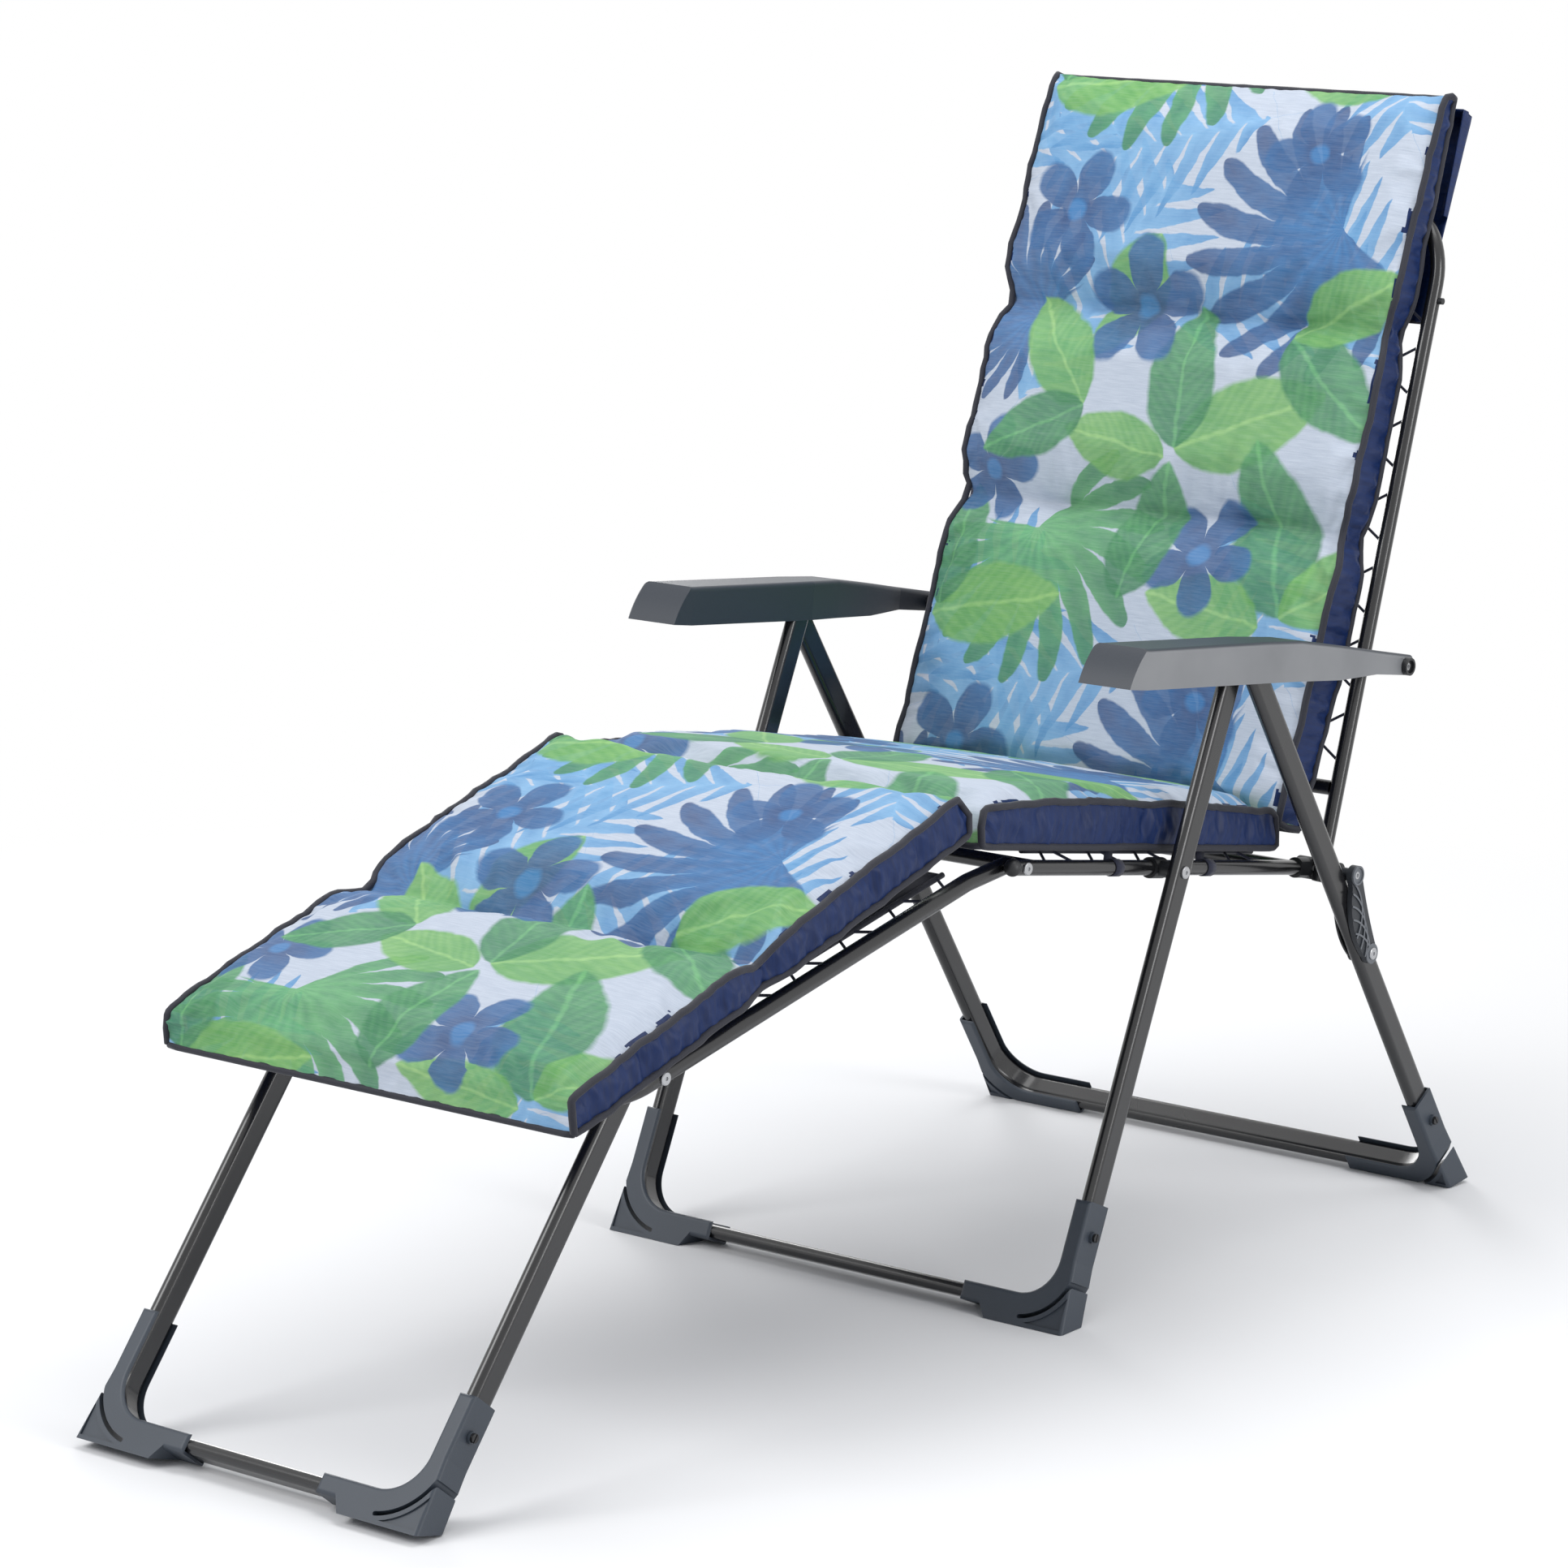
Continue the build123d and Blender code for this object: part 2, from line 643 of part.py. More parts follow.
def write_links():
    length, tilt = link_axis()
    face = plate_face(length)
    barrel = barrel_dia / 2
    inner_x = rear_inner - plate_gap - plate_inner_thick
    outer_x = rear_outer + plate_gap
    inner = Pos(inner_x, 0, 0) * extrude(face, amount=plate_inner_thick, dir=(1, 0, 0))
    outer = Pos(outer_x, 0, 0) * extrude(face, amount=plate_outer_thick, dir=(1, 0, 0))
    top_x = outer_x + plate_outer_thick
    # Curved ribs across the outer face, each between two arcs about a point ahead of the plate
    turn_y = -3 * plate_half_width
    for k in range(rib_count):
        low = -length + plate_low_radius + (k + 0.2) * (length - plate_low_radius) / rib_count
        radius = abs(turn_y)
        ring = pipe_x(radius, radius - rib_wide, top_x, top_x + rib_high, turn_y, low - radius / 3)
        outer += ring & (Pos(top_x, 0, 0) * extrude(face, amount=rib_high, dir=(1, 0, 0)))
    # Eye at the hinge with its raised ring and recess, and the boss at the rivet
    outer += cross_bar(plate_top_radius, top_x, top_x + 2 * rib_high)
    outer -= cross_bar(plate_top_radius - rib_wide, top_x + rib_high, top_x + 3 * rib_high)
    outer += cross_bar(plate_low_radius, top_x, top_x + rib_high, 0, -length)
    sleeve = cross_bar(barrel, back_outer + flat_gap, outer_x)
    sleeve -= cross_bar(rail_dia, inner_x, rear_inner - plate_gap)
    far = top_x + 3 * rib_high
    outer += sleeve.solids().sort_by(Axis.X)[-1]
    inner += sleeve.solids().sort_by(Axis.X)[0]
    for drop, radius in ((0, bore_radius), (length, pin_radius)):
        inner -= cross_bar(radius, back_outer - cut_over, rear_leg_x, 0, -drop)
        outer -= cross_bar(radius, rear_inner - cut_over, far, 0, -drop)
    for side, shape in zip(("left", "right"), both(outer)):
        save(f"link_outer_{side}", place(shape, hinge, tilt))
    for side, shape in zip(("left", "right"), both(inner)):
        save(f"link_inner_{side}", place(shape, hinge, tilt))
    low_x = top_x + rib_high
    stub = cross_bar(pin_radius, outer_x, low_x, 0, -length) + rivet_head(low_x, 1, 0, -length)
    back = cross_bar(pin_radius, inner_x, inner_x + plate_inner_thick, 0, -length)
    rivets = []
    for shape in both(stub) + both(back):
        rivets.append(place(shape, hinge, tilt))
    save("link_rivets", *rivets)
    # Hinge pins from the seat blocks to the outer eyes
    end_x = top_x + rib_high - pin_play
    pin = cross_bar(pin_radius, rail_inner - hinge_block_wall - head_thick, end_x)
    pin += cross_bar(head_dia / 2, rail_inner - hinge_block_wall - head_thick,
                     rail_inner - hinge_block_wall - pin_play)
    pin -= cross_bar(pin_radius / 2, end_x - head_recess, end_x + cut_over)
    save("hinge_pins", *[place(s, hinge, 0) for s in both(pin)])


def write_backrest():
    """Inverted U with a low cross tube, its sling and the studs of the hood."""
    x = back_tube_x
    frame = round_tube(
        [(-x, 0, -back_tail), (-x, 0, back_length), (x, 0, back_length), (x, 0, -back_tail)],
        back_bend, rail_dia,
    )
    bar_end = x - rail_radius + round_wall
    bar = cross_bar(rail_radius, -bar_end, bar_end, 0, back_low_bar)
    bar -= cross_bar(rail_radius - round_wall, -bar_end, bar_end, 0, back_low_bar)
    for side in (-1, 1):
        bar -= rod(rail_radius - round_wall / 2, (side * x, 0, 0), (side * x, 0, back_length / 2))
        for z in (0, arm_pin_rise):
            frame -= cross_bar(bore_radius, side * (x - rail_dia), side * (x + rail_dia), 0, z)
        frame -= cross_bar(stud_dia / 4, side * x, side * (x + rail_dia), 0, stud_rise)
    for side in (-1, 1):
        bar -= rod(rail_radius, (side * x, 0, 0), (side * x, 0, back_length / 2))
    save("backrest_frame", place(frame, hinge, -back_lean))
    save("backrest_low_bar", place(bar, hinge, -back_lean))
    half = back_inner - sling_inset
    low = back_low_bar + rail_dia
    high = back_length - rail_dia
    panel = sling(half, low, high - back_bend / 3, 0)
    flat = Pos(0, -back_sling_set, 0) * Rot(90, 0, 0) * panel
    save("backrest_sling", place(flat, hinge, -back_lean))
    ties = lacing(half, back_sling_set, back_tube_x, rail_radius, low, back_length - back_bend - rail_dia)
    ties = [Rot(90, 0, 0) * tie for tie in ties]
    save("backrest_lacing", *[place(tie, hinge, -back_lean) for tie in ties])
    neck = cross_bar(stud_dia / 4, back_outer - round_wall, back_outer + stud_length / 2, 0, stud_rise)
    knob = cross_bar(stud_dia / 2, back_outer + flat_gap, back_outer + stud_length, 0, stud_rise)
    save("hood_studs", *[place(s, hinge, -back_lean) for s in both(neck + knob)])


def arm_sections():
    """Width, underside and top of the armrest by distance ahead of its own pin."""
    return [
        (arm_nose, arm_width_nose, arm_nose_low, arm_nose_top),
        (arm_nose - arm_nose_rake, arm_width_nose, arm_nose_low, arm_nose_top),
        (arm_reach, arm_width_pin, arm_pin_low, arm_pin_top),
        (arm_mid_along, arm_width_mid, arm_mid_low, arm_mid_top),
        (arm_rear_along, arm_width_rear, arm_rear_low, arm_rear_top),
        (arm_tongue_along, arm_width_tail, arm_tail_low, arm_tongue_top),
        (-arm_tail, arm_width_tail, arm_tail_low, arm_tail_top),
    ]


def arm_section(ahead, width, low, top, inset, drop):
    """Cross section with rounded top corners, drawn in by an inset and run down by a drop."""
    outer = arm_outer_x - inset
    inner = arm_outer_x - width + inset
    high = top - inset
    base = low - drop
    corner = arm_round - inset / 2
    with BuildSketch(Plane.XZ.offset(ahead)) as face:
        with BuildLine():
            Line((inner, base), (inner, high - corner))
            RadiusArc((inner, high - corner), (inner + corner, high), corner)
            Line((inner + corner, high), (outer - corner, high))
            RadiusArc((outer - corner, high), (outer, high - corner), corner)
            Line((outer, high - corner), (outer, base))
            Line((outer, base), (inner, base))
        make_face()
    return face.sketch


def arm_loft(inset, drop, tail):
    """Armrest solid by its sections, ended at a distance ahead of the pin."""
    faces = []
    for ahead, width, low, top in arm_sections():
        if ahead >= tail:
            faces.append(arm_section(ahead, width, low, top, inset, drop))
    return loft(faces, ruled=True)


def arm_nose_cut(inset):
    """What is taken off ahead of the nose's raked and hollowed front face."""
    ahead = arm_nose - inset
    low = (-ahead, arm_nose_low - cut_over)
    high = (-ahead + arm_nose_rake, arm_nose_top + cut_over)
    middle = (-ahead + arm_nose_rake / 3, (arm_nose_low + arm_nose_top) / 2)
    far = -arm_nose - arm_nose_rake
    with BuildSketch(Plane.YZ) as face:
        with BuildLine():
            ThreePointArc(low, middle, high)
            Polyline(high, (far, high[1]), (far, low[1]), low)
        make_face()
    return extrude(face.sketch, amount=arm_outer_x + cut_over, dir=(1, 0, 0))


def write_armrests():
    shell = arm_loft(0.0, 0.0, -arm_tail) - arm_nose_cut(0.0)
    shell -= arm_loft(arm_wall, cut_over, arm_rear_along) - arm_nose_cut(arm_wall)
    shell -= cross_bar(bore_radius, arm_outer_x - arm_width_tail - cut_over, arm_outer_x + cut_over)
    for side, shape in zip(("left", "right"), both(shell)):
        save(f"armrest_{side}", place(shape, arm_pin, arm_tilt))
    write_racks()
    # Bolt through the back tube, the spacer and the armrest, with its ring outside
    tongue_x = arm_outer_x - arm_width_tail
    bolt = cross_bar(pin_radius, back_inner - head_thick, arm_outer_x + bolt_ring_thick / 2)
    bolt += cross_bar(head_dia / 2, back_inner - head_thick, back_inner - pin_play)
    bolt -= cross_bar(pin_radius / 2, arm_outer_x + bolt_ring_thick / 4, arm_outer_x + bolt_ring_thick)
    spacer = pipe_x(spacer_dia / 2, pin_radius, back_outer + flat_gap, tongue_x - flat_gap)
    ring = pipe_x(bolt_ring_dia / 2, pin_radius, arm_outer_x + flat_gap, arm_outer_x + bolt_ring_thick)
    ring -= cross_bar(bolt_ring_dia / 2 - bolt_ring_wall, arm_outer_x + bolt_ring_thick / 2,
                      arm_outer_x + 2 * bolt_ring_thick)
    for name, shape in (("armrest_bolts", bolt), ("armrest_spacers", spacer), ("armrest_rings", ring)):
        save(name, *[place(s, arm_pin, 0) for s in both(shape)])


def pin_in_armrest(recline):
    """Where the crown pin lies in the armrest's own frame at a recline: ahead and up."""
    y, z = step(hinge, 90.0 - back_lean - recline, arm_pin_rise)
    turned = (1.0 - arm_follow_share) * recline
    dy, dz = crown[0] - y, crown[1] - z
    axis = radians(180.0 + arm_tilt - turned)
    return dy * cos(axis) + dz * sin(axis), dy * sin(axis) - dz * cos(axis)


def rack_roof(ahead):
    """Height of the rack's top, which stays under the armrest as that slopes to its nose."""
    slope = (arm_pin_top - arm_nose_top) / (arm_nose - arm_nose_rake - arm_reach)
    return arm_pin_top - arm_wall - arm_round - (ahead - arm_reach) * slope


def write_racks():
    """Notched bar in each armrest, which drops onto the crown pin while the armrest is high enough."""
    lift = pin_radius + flat_gap
    last = rack_recline * (rack_notch_count - 1)
    path = [pin_in_armrest(last * k / rack_path_steps) for k in range(rack_path_steps + 1)]
    path = [(ahead, up) for ahead, up in path if rack_roof(ahead + rack_end) > up + lift + rack_least]
    start = path[0][0] - rack_end
    end = path[-1][0] + rack_end
    roof = rack_roof(arm_reach)
    outline = [(-start, rack_tip), (-start, roof), (-arm_reach, roof), (-end, rack_roof(end))]
    outline += [(-end, path[-1][1] + lift)]
    outline += [(-ahead, up + lift) for ahead, up in reversed(path[1:])]
    outline += [(-path[0][0] - lift, path[0][1] + lift), (-path[0][0] - lift, rack_tip)]
    x_to = arm_outer_x - arm_wall - flat_gap / 3
    rack = prism(outline, x_to - rack_thick, x_to)
    places = [pin_in_armrest(k * rack_recline) for k in range(rack_notch_count)]
    for k, (ahead, up) in enumerate(p for p in places if p[0] < path[-1][0] + lift):
        radius = rack_notch if k else lift
        rack -= cross_bar(radius, x_to - 2 * rack_thick, arm_outer_x, -ahead, up + (lift if k else 0))
    for side, shape in zip(("left", "right"), both(rack)):
        save(f"armrest_rack_{side}", place(shape, arm_pin, arm_tilt))


def write_footrest():
    """Bent U frame, its sling and the pins and spacers of its own legs."""
    x = footrest_rail_x
    radius = footrest_dia / 2
    rise = footrest_bend_rise
    ends = [(-x, 0, 0), (-x, -footrest_bend_along, rise), (-x, -footrest_length, rise)]
    points = ends + [(-px, py, pz) for px, py, pz in reversed(ends)]
    frame = round_tube(points, footrest_corner, footrest_dia)
    for side in (-1, 1):
        frame += cross_bar(radius, side * (x - radius), side * (x + radius))
        frame -= cross_bar(bore_radius, side * (x - 2 * radius), side * (x + 2 * radius))
        frame -= cross_bar(pin_radius, side * (x - 2 * radius), side * (x + 2 * radius),
                           -footrest_leg_reach, rise)
    save("footrest_frame", place(frame, footrest_pin, footrest_tilt))
    y_from = -footrest_sling_reach
    y_to = -footrest_bend_along
    half = x - radius - sling_inset
    panel = Pos(0, 0, rise) * sling(half, y_from, y_to, footrest_sling_rise)
    save("footrest_sling", place(panel, footrest_pin, footrest_tilt))
    ties = lacing(half, footrest_sling_rise, x, radius, y_from, y_to)
    ties = [Pos(0, 0, rise) * tie for tie in ties]
    save("footrest_lacing", *[place(tie, footrest_pin, footrest_tilt) for tie in ties])
    leg_outer = footrest_leg_x + leg_half
    pin = cross_bar(pin_radius, footrest_leg_x - leg_half - head_thick, x + radius)
    pin += cross_bar(head_dia / 2, footrest_leg_x - leg_half - head_thick,
                     footrest_leg_x - leg_half - pin_play)
    pin += rivet_head(x + radius, 1)
    spacer = pipe_x(spacer_radius, pin_radius, leg_outer + flat_gap, x - radius)
    save("footrest_leg_pins", *[place(s, footrest_leg_pin, 0) for s in both(pin)])
    save("footrest_leg_spacers", *[place(s, footrest_leg_pin, 0) for s in both(spacer)])


def pad_section(y, half, base, side, crown_rise):
    """Cross section of a cushion: flat base, swelling sides, crowned top."""
    top = base + side
    with BuildSketch(Plane.XZ.offset(-y)) as face:
        with BuildLine():
            Line((-half, base), (half, base))
            ThreePointArc((half, base), (half + side_bulge, base + side / 2), (half, top))
            ThreePointArc((half, top), (0, top + crown_rise), (-half, top))
            ThreePointArc((-half, top), (-half - side_bulge, base + side / 2), (-half, base))
        make_face()
    return face.sketch


def pad(y_from, y_to, base_at, side_at, crown_rise, seams):
    """Cushion lofted along Y through its ends, its crowns and its sewn seams."""
    stations = [(y_from, 1.0, 1), (y_from + end_round, 0.0, 0)]
    for y in seams:
        stations += [(y - 3 * seam_half, 0.0, 0), (y - seam_half, 0.0, 0)]
        stations += [(y, 0.0, 2), (y + seam_half, 0.0, 0), (y + 3 * seam_half, 0.0, 0)]
    stations += [((y_from + y_to) / 2, 0.0, 0)] if not seams else []
    stations += [(y_to - end_round, 0.0, 0), (y_to, 1.0, 1)]
    sections = []
    for y, end_share, kind in sorted(stations):
        half = cushion_half - end_share * seam_pinch - (seam_pinch if kind == 2 else 0)
        drop = end_drop * end_share + (seam_dip if kind == 2 else 0)
        near = min([abs(y - s) for s in seams] + [4 * seam_half])
        swell = crown_rise * min(near / (3 * seam_half), 1.0)
        rise = max(swell - end_share * end_drop, crown_rise / 4)
        sections.append(pad_section(y, half, base_at(y), side_at(y) - drop / 2, rise))
    return loft(sections, ruled=True)


def beyond_crease(rearward):
    """All that lies on one side of the crease where seat and back cushions meet."""
    size = 2 * back_length
    near, far = (-crease_gap / 2, size) if rearward else (-size, crease_gap / 2)
    cut = block(-size, size, near, far, -size, size)
    return place(Pos(0, crease_along, crease_rise) * Rot(crease_lean, 0, 0) * cut, seat_pin, -seat_tilt)


def write_seat_cushion():
    middle = (seat_pad_rear - seat_pad_front) / 2
    run = (seat_pad_rear + seat_pad_front) / 2
    shape = pad(-seat_pad_front, seat_pad_rear, lambda y: seat_pad_base,
                lambda y: seat_pad_side + seat_pad_swell * (1 - ((y - middle) / run) ** 2),
                seat_pad_crown, [])
    save("seat_cushion", place(shape, seat_pin, -seat_tilt) - beyond_crease(True))


def write_footrest_cushion():
    run = foot_pad_front - foot_pad_rear
    def base(y):
        return foot_pad_low_base + (y + foot_pad_front) / run * (foot_pad_high_base - foot_pad_low_base)
    shape = pad(-foot_pad_front, -foot_pad_rear, base, lambda y: foot_pad_side,
                foot_pad_crown, [-s for s in footrest_seams])
    save("footrest_cushion", place(shape, footrest_pin, footrest_tilt))


def back_pad_rear(z):
    """Rear face of the back cushion, which leans onto the sling."""
    rest = -rail_radius - cushion_clear
    share = min(max((z - back_pad_low) / (back_pad_rear_join - back_pad_low), 0.0), 1.0)
    return back_pad_low_rear + (rest - back_pad_low_rear) * share


def back_pad_front(z):
    share = (z - back_pad_low) / (back_pad_top - back_pad_low)
    return back_pad_low_front + (back_pad_top_front - back_pad_low_front) * share


def write_back_cushion():
    """Lofted lying down along Y, then stood up with its crown to the front.

    Its foot is a solid of its own, because the pad bends there as the backrest reclines.
    """
    shape = pad(back_pad_low, back_pad_top, lambda z: -back_pad_rear(z),
                lambda z: back_pad_rear(z) - back_pad_front(z) - back_pad_crown / 2,
                back_pad_crown, list(back_seams))
    upright = Rot(90, 0, 0) * shape
    size = 2 * back_length
    above = block(-size, size, -size, size, back_pad_bend + crease_gap / 2, size)
    below = block(-size, size, -size, size, -size, back_pad_bend - crease_gap / 2)
    save("back_cushion", place(upright & above, hinge, -back_lean))
    save("back_cushion_foot", place(upright & below, hinge, -back_lean) - beyond_crease(False))
    write_hood()


def write_hood():
    """Pocket behind the head end, which slips over the top of the backrest frame."""
    half = cushion_half - hood_wall
    front = back_pad_rear(back_pad_top) + flat_gap
    top = back_pad_top - end_drop
    outer = [(front, hood_foot), (hood_set_low, hood_foot), (hood_set_top, top), (front, top)]
    inner = [(front - cut_over, hood_foot - cut_over), (hood_set_low - hood_wall, hood_foot - cut_over),
             (hood_set_low - hood_wall, hood_foot), (hood_set_top - hood_wall, top - hood_wall),
             (front - cut_over, top - hood_wall)]
    shell = prism(outer, -half, half) - prism(inner, -half + hood_wall, half - hood_wall)
    sides = block(half - hood_wall - cut_over, half + cut_over, front - cut_over,
                  hood_set_low - hood_wall / 2, hood_foot - cut_over, hood_side_foot)
    for cut in both(sides):
        shell -= cut
    save("cushion_hood", place(shell, hinge, -back_lean))


def write_ties():
    """Flat tapes sewn under the seat cushion and tied round the rails."""
    loop = rail_radius + tie_thick
    tapes = []
    for y in (tie_front_along, tie_rear_along):
        band = rod(loop, (seat_rail_x, y - tie_wide / 2, 0), (seat_rail_x, y + tie_wide / 2, 0))
        band -= rod(rail_radius, (seat_rail_x, y - tie_wide, 0), (seat_rail_x, y + tie_wide, 0))
        strap = block(rail_inner - tie_thick, rail_inner, y - tie_wide / 2, y + tie_wide / 2,
                      0, seat_pad_base - flat_gap)
        tapes += both(band + strap)
    save("cushion_ties", *[place(s, seat_pin, -seat_tilt) for s in tapes])


write_legs()
write_crown_pins()
write_seat_frame()
write_seat_fittings()
write_seat_sling()
write_links()
write_backrest()
write_armrests()
write_footrest()
write_seat_cushion()
write_footrest_cushion()
write_back_cushion()
write_ties()
print("crown", crown, "seat pin", seat_pin, "hinge", hinge, "footrest pin", footrest_pin)
print("link pin", link_pin, "arm pin", arm_pin, "footrest leg pin", footrest_leg_pin)
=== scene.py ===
"""Looks of the folding deck chair: finishes of its frame, its padded cushion, hood and slings."""

import bpy
import json
import math
import numpy as np
from mathutils import Matrix, Vector
from mathutils.bvhtree import BVHTree


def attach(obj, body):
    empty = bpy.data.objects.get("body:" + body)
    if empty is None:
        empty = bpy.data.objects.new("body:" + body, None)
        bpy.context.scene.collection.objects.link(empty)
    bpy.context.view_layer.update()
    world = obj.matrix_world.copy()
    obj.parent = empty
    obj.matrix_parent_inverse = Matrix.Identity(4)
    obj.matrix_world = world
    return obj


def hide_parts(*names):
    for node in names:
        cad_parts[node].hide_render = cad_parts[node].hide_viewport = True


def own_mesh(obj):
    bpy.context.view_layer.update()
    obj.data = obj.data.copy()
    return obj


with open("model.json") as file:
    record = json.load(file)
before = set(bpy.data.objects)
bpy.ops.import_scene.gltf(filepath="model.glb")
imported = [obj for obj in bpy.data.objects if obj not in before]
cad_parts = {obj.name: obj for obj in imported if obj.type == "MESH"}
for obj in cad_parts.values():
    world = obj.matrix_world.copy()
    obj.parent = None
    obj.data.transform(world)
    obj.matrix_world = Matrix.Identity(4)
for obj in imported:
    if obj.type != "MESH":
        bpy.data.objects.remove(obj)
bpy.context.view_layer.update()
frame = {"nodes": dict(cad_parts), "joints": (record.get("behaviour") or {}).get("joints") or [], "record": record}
nodes = frame["nodes"]
pin_place = {j["name"]: j.get("pos_m") for j in frame["joints"]}

# Frames of the three cushion panels: s runs along the panel, n towards the sitter


class Panel:
    def __init__(self, origin, angle):
        self.y, self.z = origin[1], origin[2]
        self.c, self.s = math.cos(math.radians(angle)), math.sin(math.radians(angle))

    def matrix(self):
        """From (x, s, n) to the chair's own frame."""
        return Matrix((
            (1, 0, 0, 0),
            (0, self.c, -self.s, self.y),
            (0, self.s, self.c, self.z),
            (0, 0, 0, 1),
        ))

    def place(self, x, s, n):
        return self.matrix() @ Vector((x, s, n))


seat_panel = Panel(pin_place["seat_fold"], -9.8)
back_panel = Panel(pin_place["recline"], 71.8)
foot_panel = Panel(pin_place["footrest_lift"], 12.1)


# Node graphs


def srgb(r, g, b):
    def one(v):
        v /= 255
        return v / 12.92 if v <= 0.04045 else ((v + 0.055) / 1.055) ** 2.4
    return (one(r), one(g), one(b), 1.0)


class Graph:
    """Short names for building a material's node graph."""

    def __init__(self, name):
        self.material = bpy.data.materials.new(name)
        self.material.use_nodes = True
        self.tree = self.material.node_tree
        self.bsdf = self.tree.nodes["Principled BSDF"]

    def link(self, value, socket):
        if isinstance(value, bpy.types.NodeSocket):
            self.tree.links.new(value, socket)
        else:
            socket.default_value = value

    def math(self, kind, a, b=0.0, c=0.0, clamp=False):
        node = self.tree.nodes.new("ShaderNodeMath")
        node.operation = kind
        node.use_clamp = clamp
        for value, socket in zip((a, b, c), node.inputs):
            self.link(value, socket)
        return node.outputs[0]

    def add(self, a, b):
        return self.math("ADD", a, b)

    def sub(self, a, b):
        return self.math("SUBTRACT", a, b)

    def mul(self, a, b):
        return self.math("MULTIPLY", a, b)

    def div(self, a, b):
        return self.math("DIVIDE", a, b)

    def power(self, a, b):
        return self.math("POWER", a, b)

    def over(self, a, soft):
        """0 where a is negative, rising to 1 where it passes soft."""
        return self.math("DIVIDE", a, soft, clamp=True)

    def mix(self, share, a, b, kind="MIX"):
        node = self.tree.nodes.new("ShaderNodeMix")
        node.data_type = "RGBA"
        node.blend_type = kind
        self.link(share, node.inputs[0])
        self.link(a, node.inputs[6])
        self.link(b, node.inputs[7])
        return node.outputs[2]

    def vector(self, x, y, z=0.0):
        node = self.tree.nodes.new("ShaderNodeCombineXYZ")
        for value, socket in zip((x, y, z), node.inputs):
            self.link(value, socket)
        return node.outputs[0]

    def split(self, vector):
        node = self.tree.nodes.new("ShaderNodeSeparateXYZ")
        self.link(vector, node.inputs[0])
        return node.outputs

    def object_place(self):
        return self.tree.nodes.new("ShaderNodeTexCoord").outputs["Object"]

    def attribute(self, name):
        node = self.tree.nodes.new("ShaderNodeAttribute")
        node.attribute_name = name
        return node.outputs["Vector"]

    def noise(self, place, scale, detail=2.0, rough=0.5):
        node = self.tree.nodes.new("ShaderNodeTexNoise")
        self.link(place, node.inputs["Vector"])
        node.inputs["Scale"].default_value = scale
        node.inputs["Detail"].default_value = detail
        node.inputs["Roughness"].default_value = rough
        return node.outputs["Fac"]

    def stretch(self, place, sx, sy, sz):
        node = self.tree.nodes.new("ShaderNodeMapping")
        self.link(place, node.inputs["Vector"])
        node.inputs["Scale"].default_value = (sx, sy, sz)
        return node.outputs[0]

    def bump(self, height, strength, distance):
        node = self.tree.nodes.new("ShaderNodeBump")
        self.link(height, node.inputs["Height"])
        node.inputs["Strength"].default_value = strength
        node.inputs["Distance"].default_value = distance
        self.tree.links.new(node.outputs[0], self.bsdf.inputs["Normal"])

    def finish(self, color, rough, metal=0.0, coat=0.0, sheen=0.0, specular=0.5):
        self.link(color, self.bsdf.inputs["Base Color"])
        self.link(rough, self.bsdf.inputs["Roughness"])
        self.bsdf.inputs["Metallic"].default_value = metal
        self.bsdf.inputs["Coat Weight"].default_value = coat
        self.bsdf.inputs["Coat Roughness"].default_value = 0.12
        self.bsdf.inputs["Sheen Weight"].default_value = sheen
        self.bsdf.inputs["Specular IOR Level"].default_value = specular
        return self.material


def painted_tube():
    g = Graph("painted_tube")
    place = g.object_place()
    grain = g.noise(place, 420.0, 3.0)
    patch = g.noise(place, 9.0, 2.0)
    color = g.mix(patch, srgb(14, 14, 16), srgb(24, 25, 28))
    g.bump(grain, 0.12, 0.0003)
    return g.finish(color, g.add(0.2, g.mul(patch, 0.12)), coat=0.35)


def moulded(name, dark, light, rough):
    """Grained moulded plastic, a little worn on the high spots."""
    g = Graph(name)
    place = g.object_place()
    grain = g.noise(place, 900.0, 2.0, 0.6)
    patch = g.noise(place, 14.0, 3.0)
    fine = g.mix(g.mul(grain, 0.5), dark, light)
    color = g.mix(g.mul(patch, 0.35), fine, light)
    g.bump(grain, 0.25, 0.0004)
    return g.finish(color, g.add(rough, g.mul(grain, 0.14)))


# Distance from the middle of the chair beyond which the outer face of the piece begins
ARMREST_WALL_X, LINK_FACE_X = 0.3258, 0.3168


def armrest_plastic():
    """Slate shell whose outer face is painted a lighter, smoother grey: a painted reflection of the light that
    falls on that face.
    """
    g = Graph("armrest_plastic")
    place = g.object_place()
    grain = g.noise(place, 850.0, 2.0, 0.6)
    patch = g.noise(place, 11.0, 3.0)
    x, _, _ = g.split(place)
    outer = g.over(g.sub(g.math("ABSOLUTE", x), ARMREST_WALL_X), 0.001)
    shell = g.mix(g.mul(grain, 0.6), srgb(33, 39, 48), srgb(56, 63, 73))
    # Painted reflection: the outer face gets a lighter grey for the light it reflects.
    painted_reflection_grey = g.mix(patch, srgb(104, 106, 110), srgb(134, 136, 139))
    color = g.mix(outer, shell, painted_reflection_grey)
    g.bump(grain, 0.22, 0.0004)
    return g.finish(color, g.add(0.4, g.mul(grain, 0.12)))


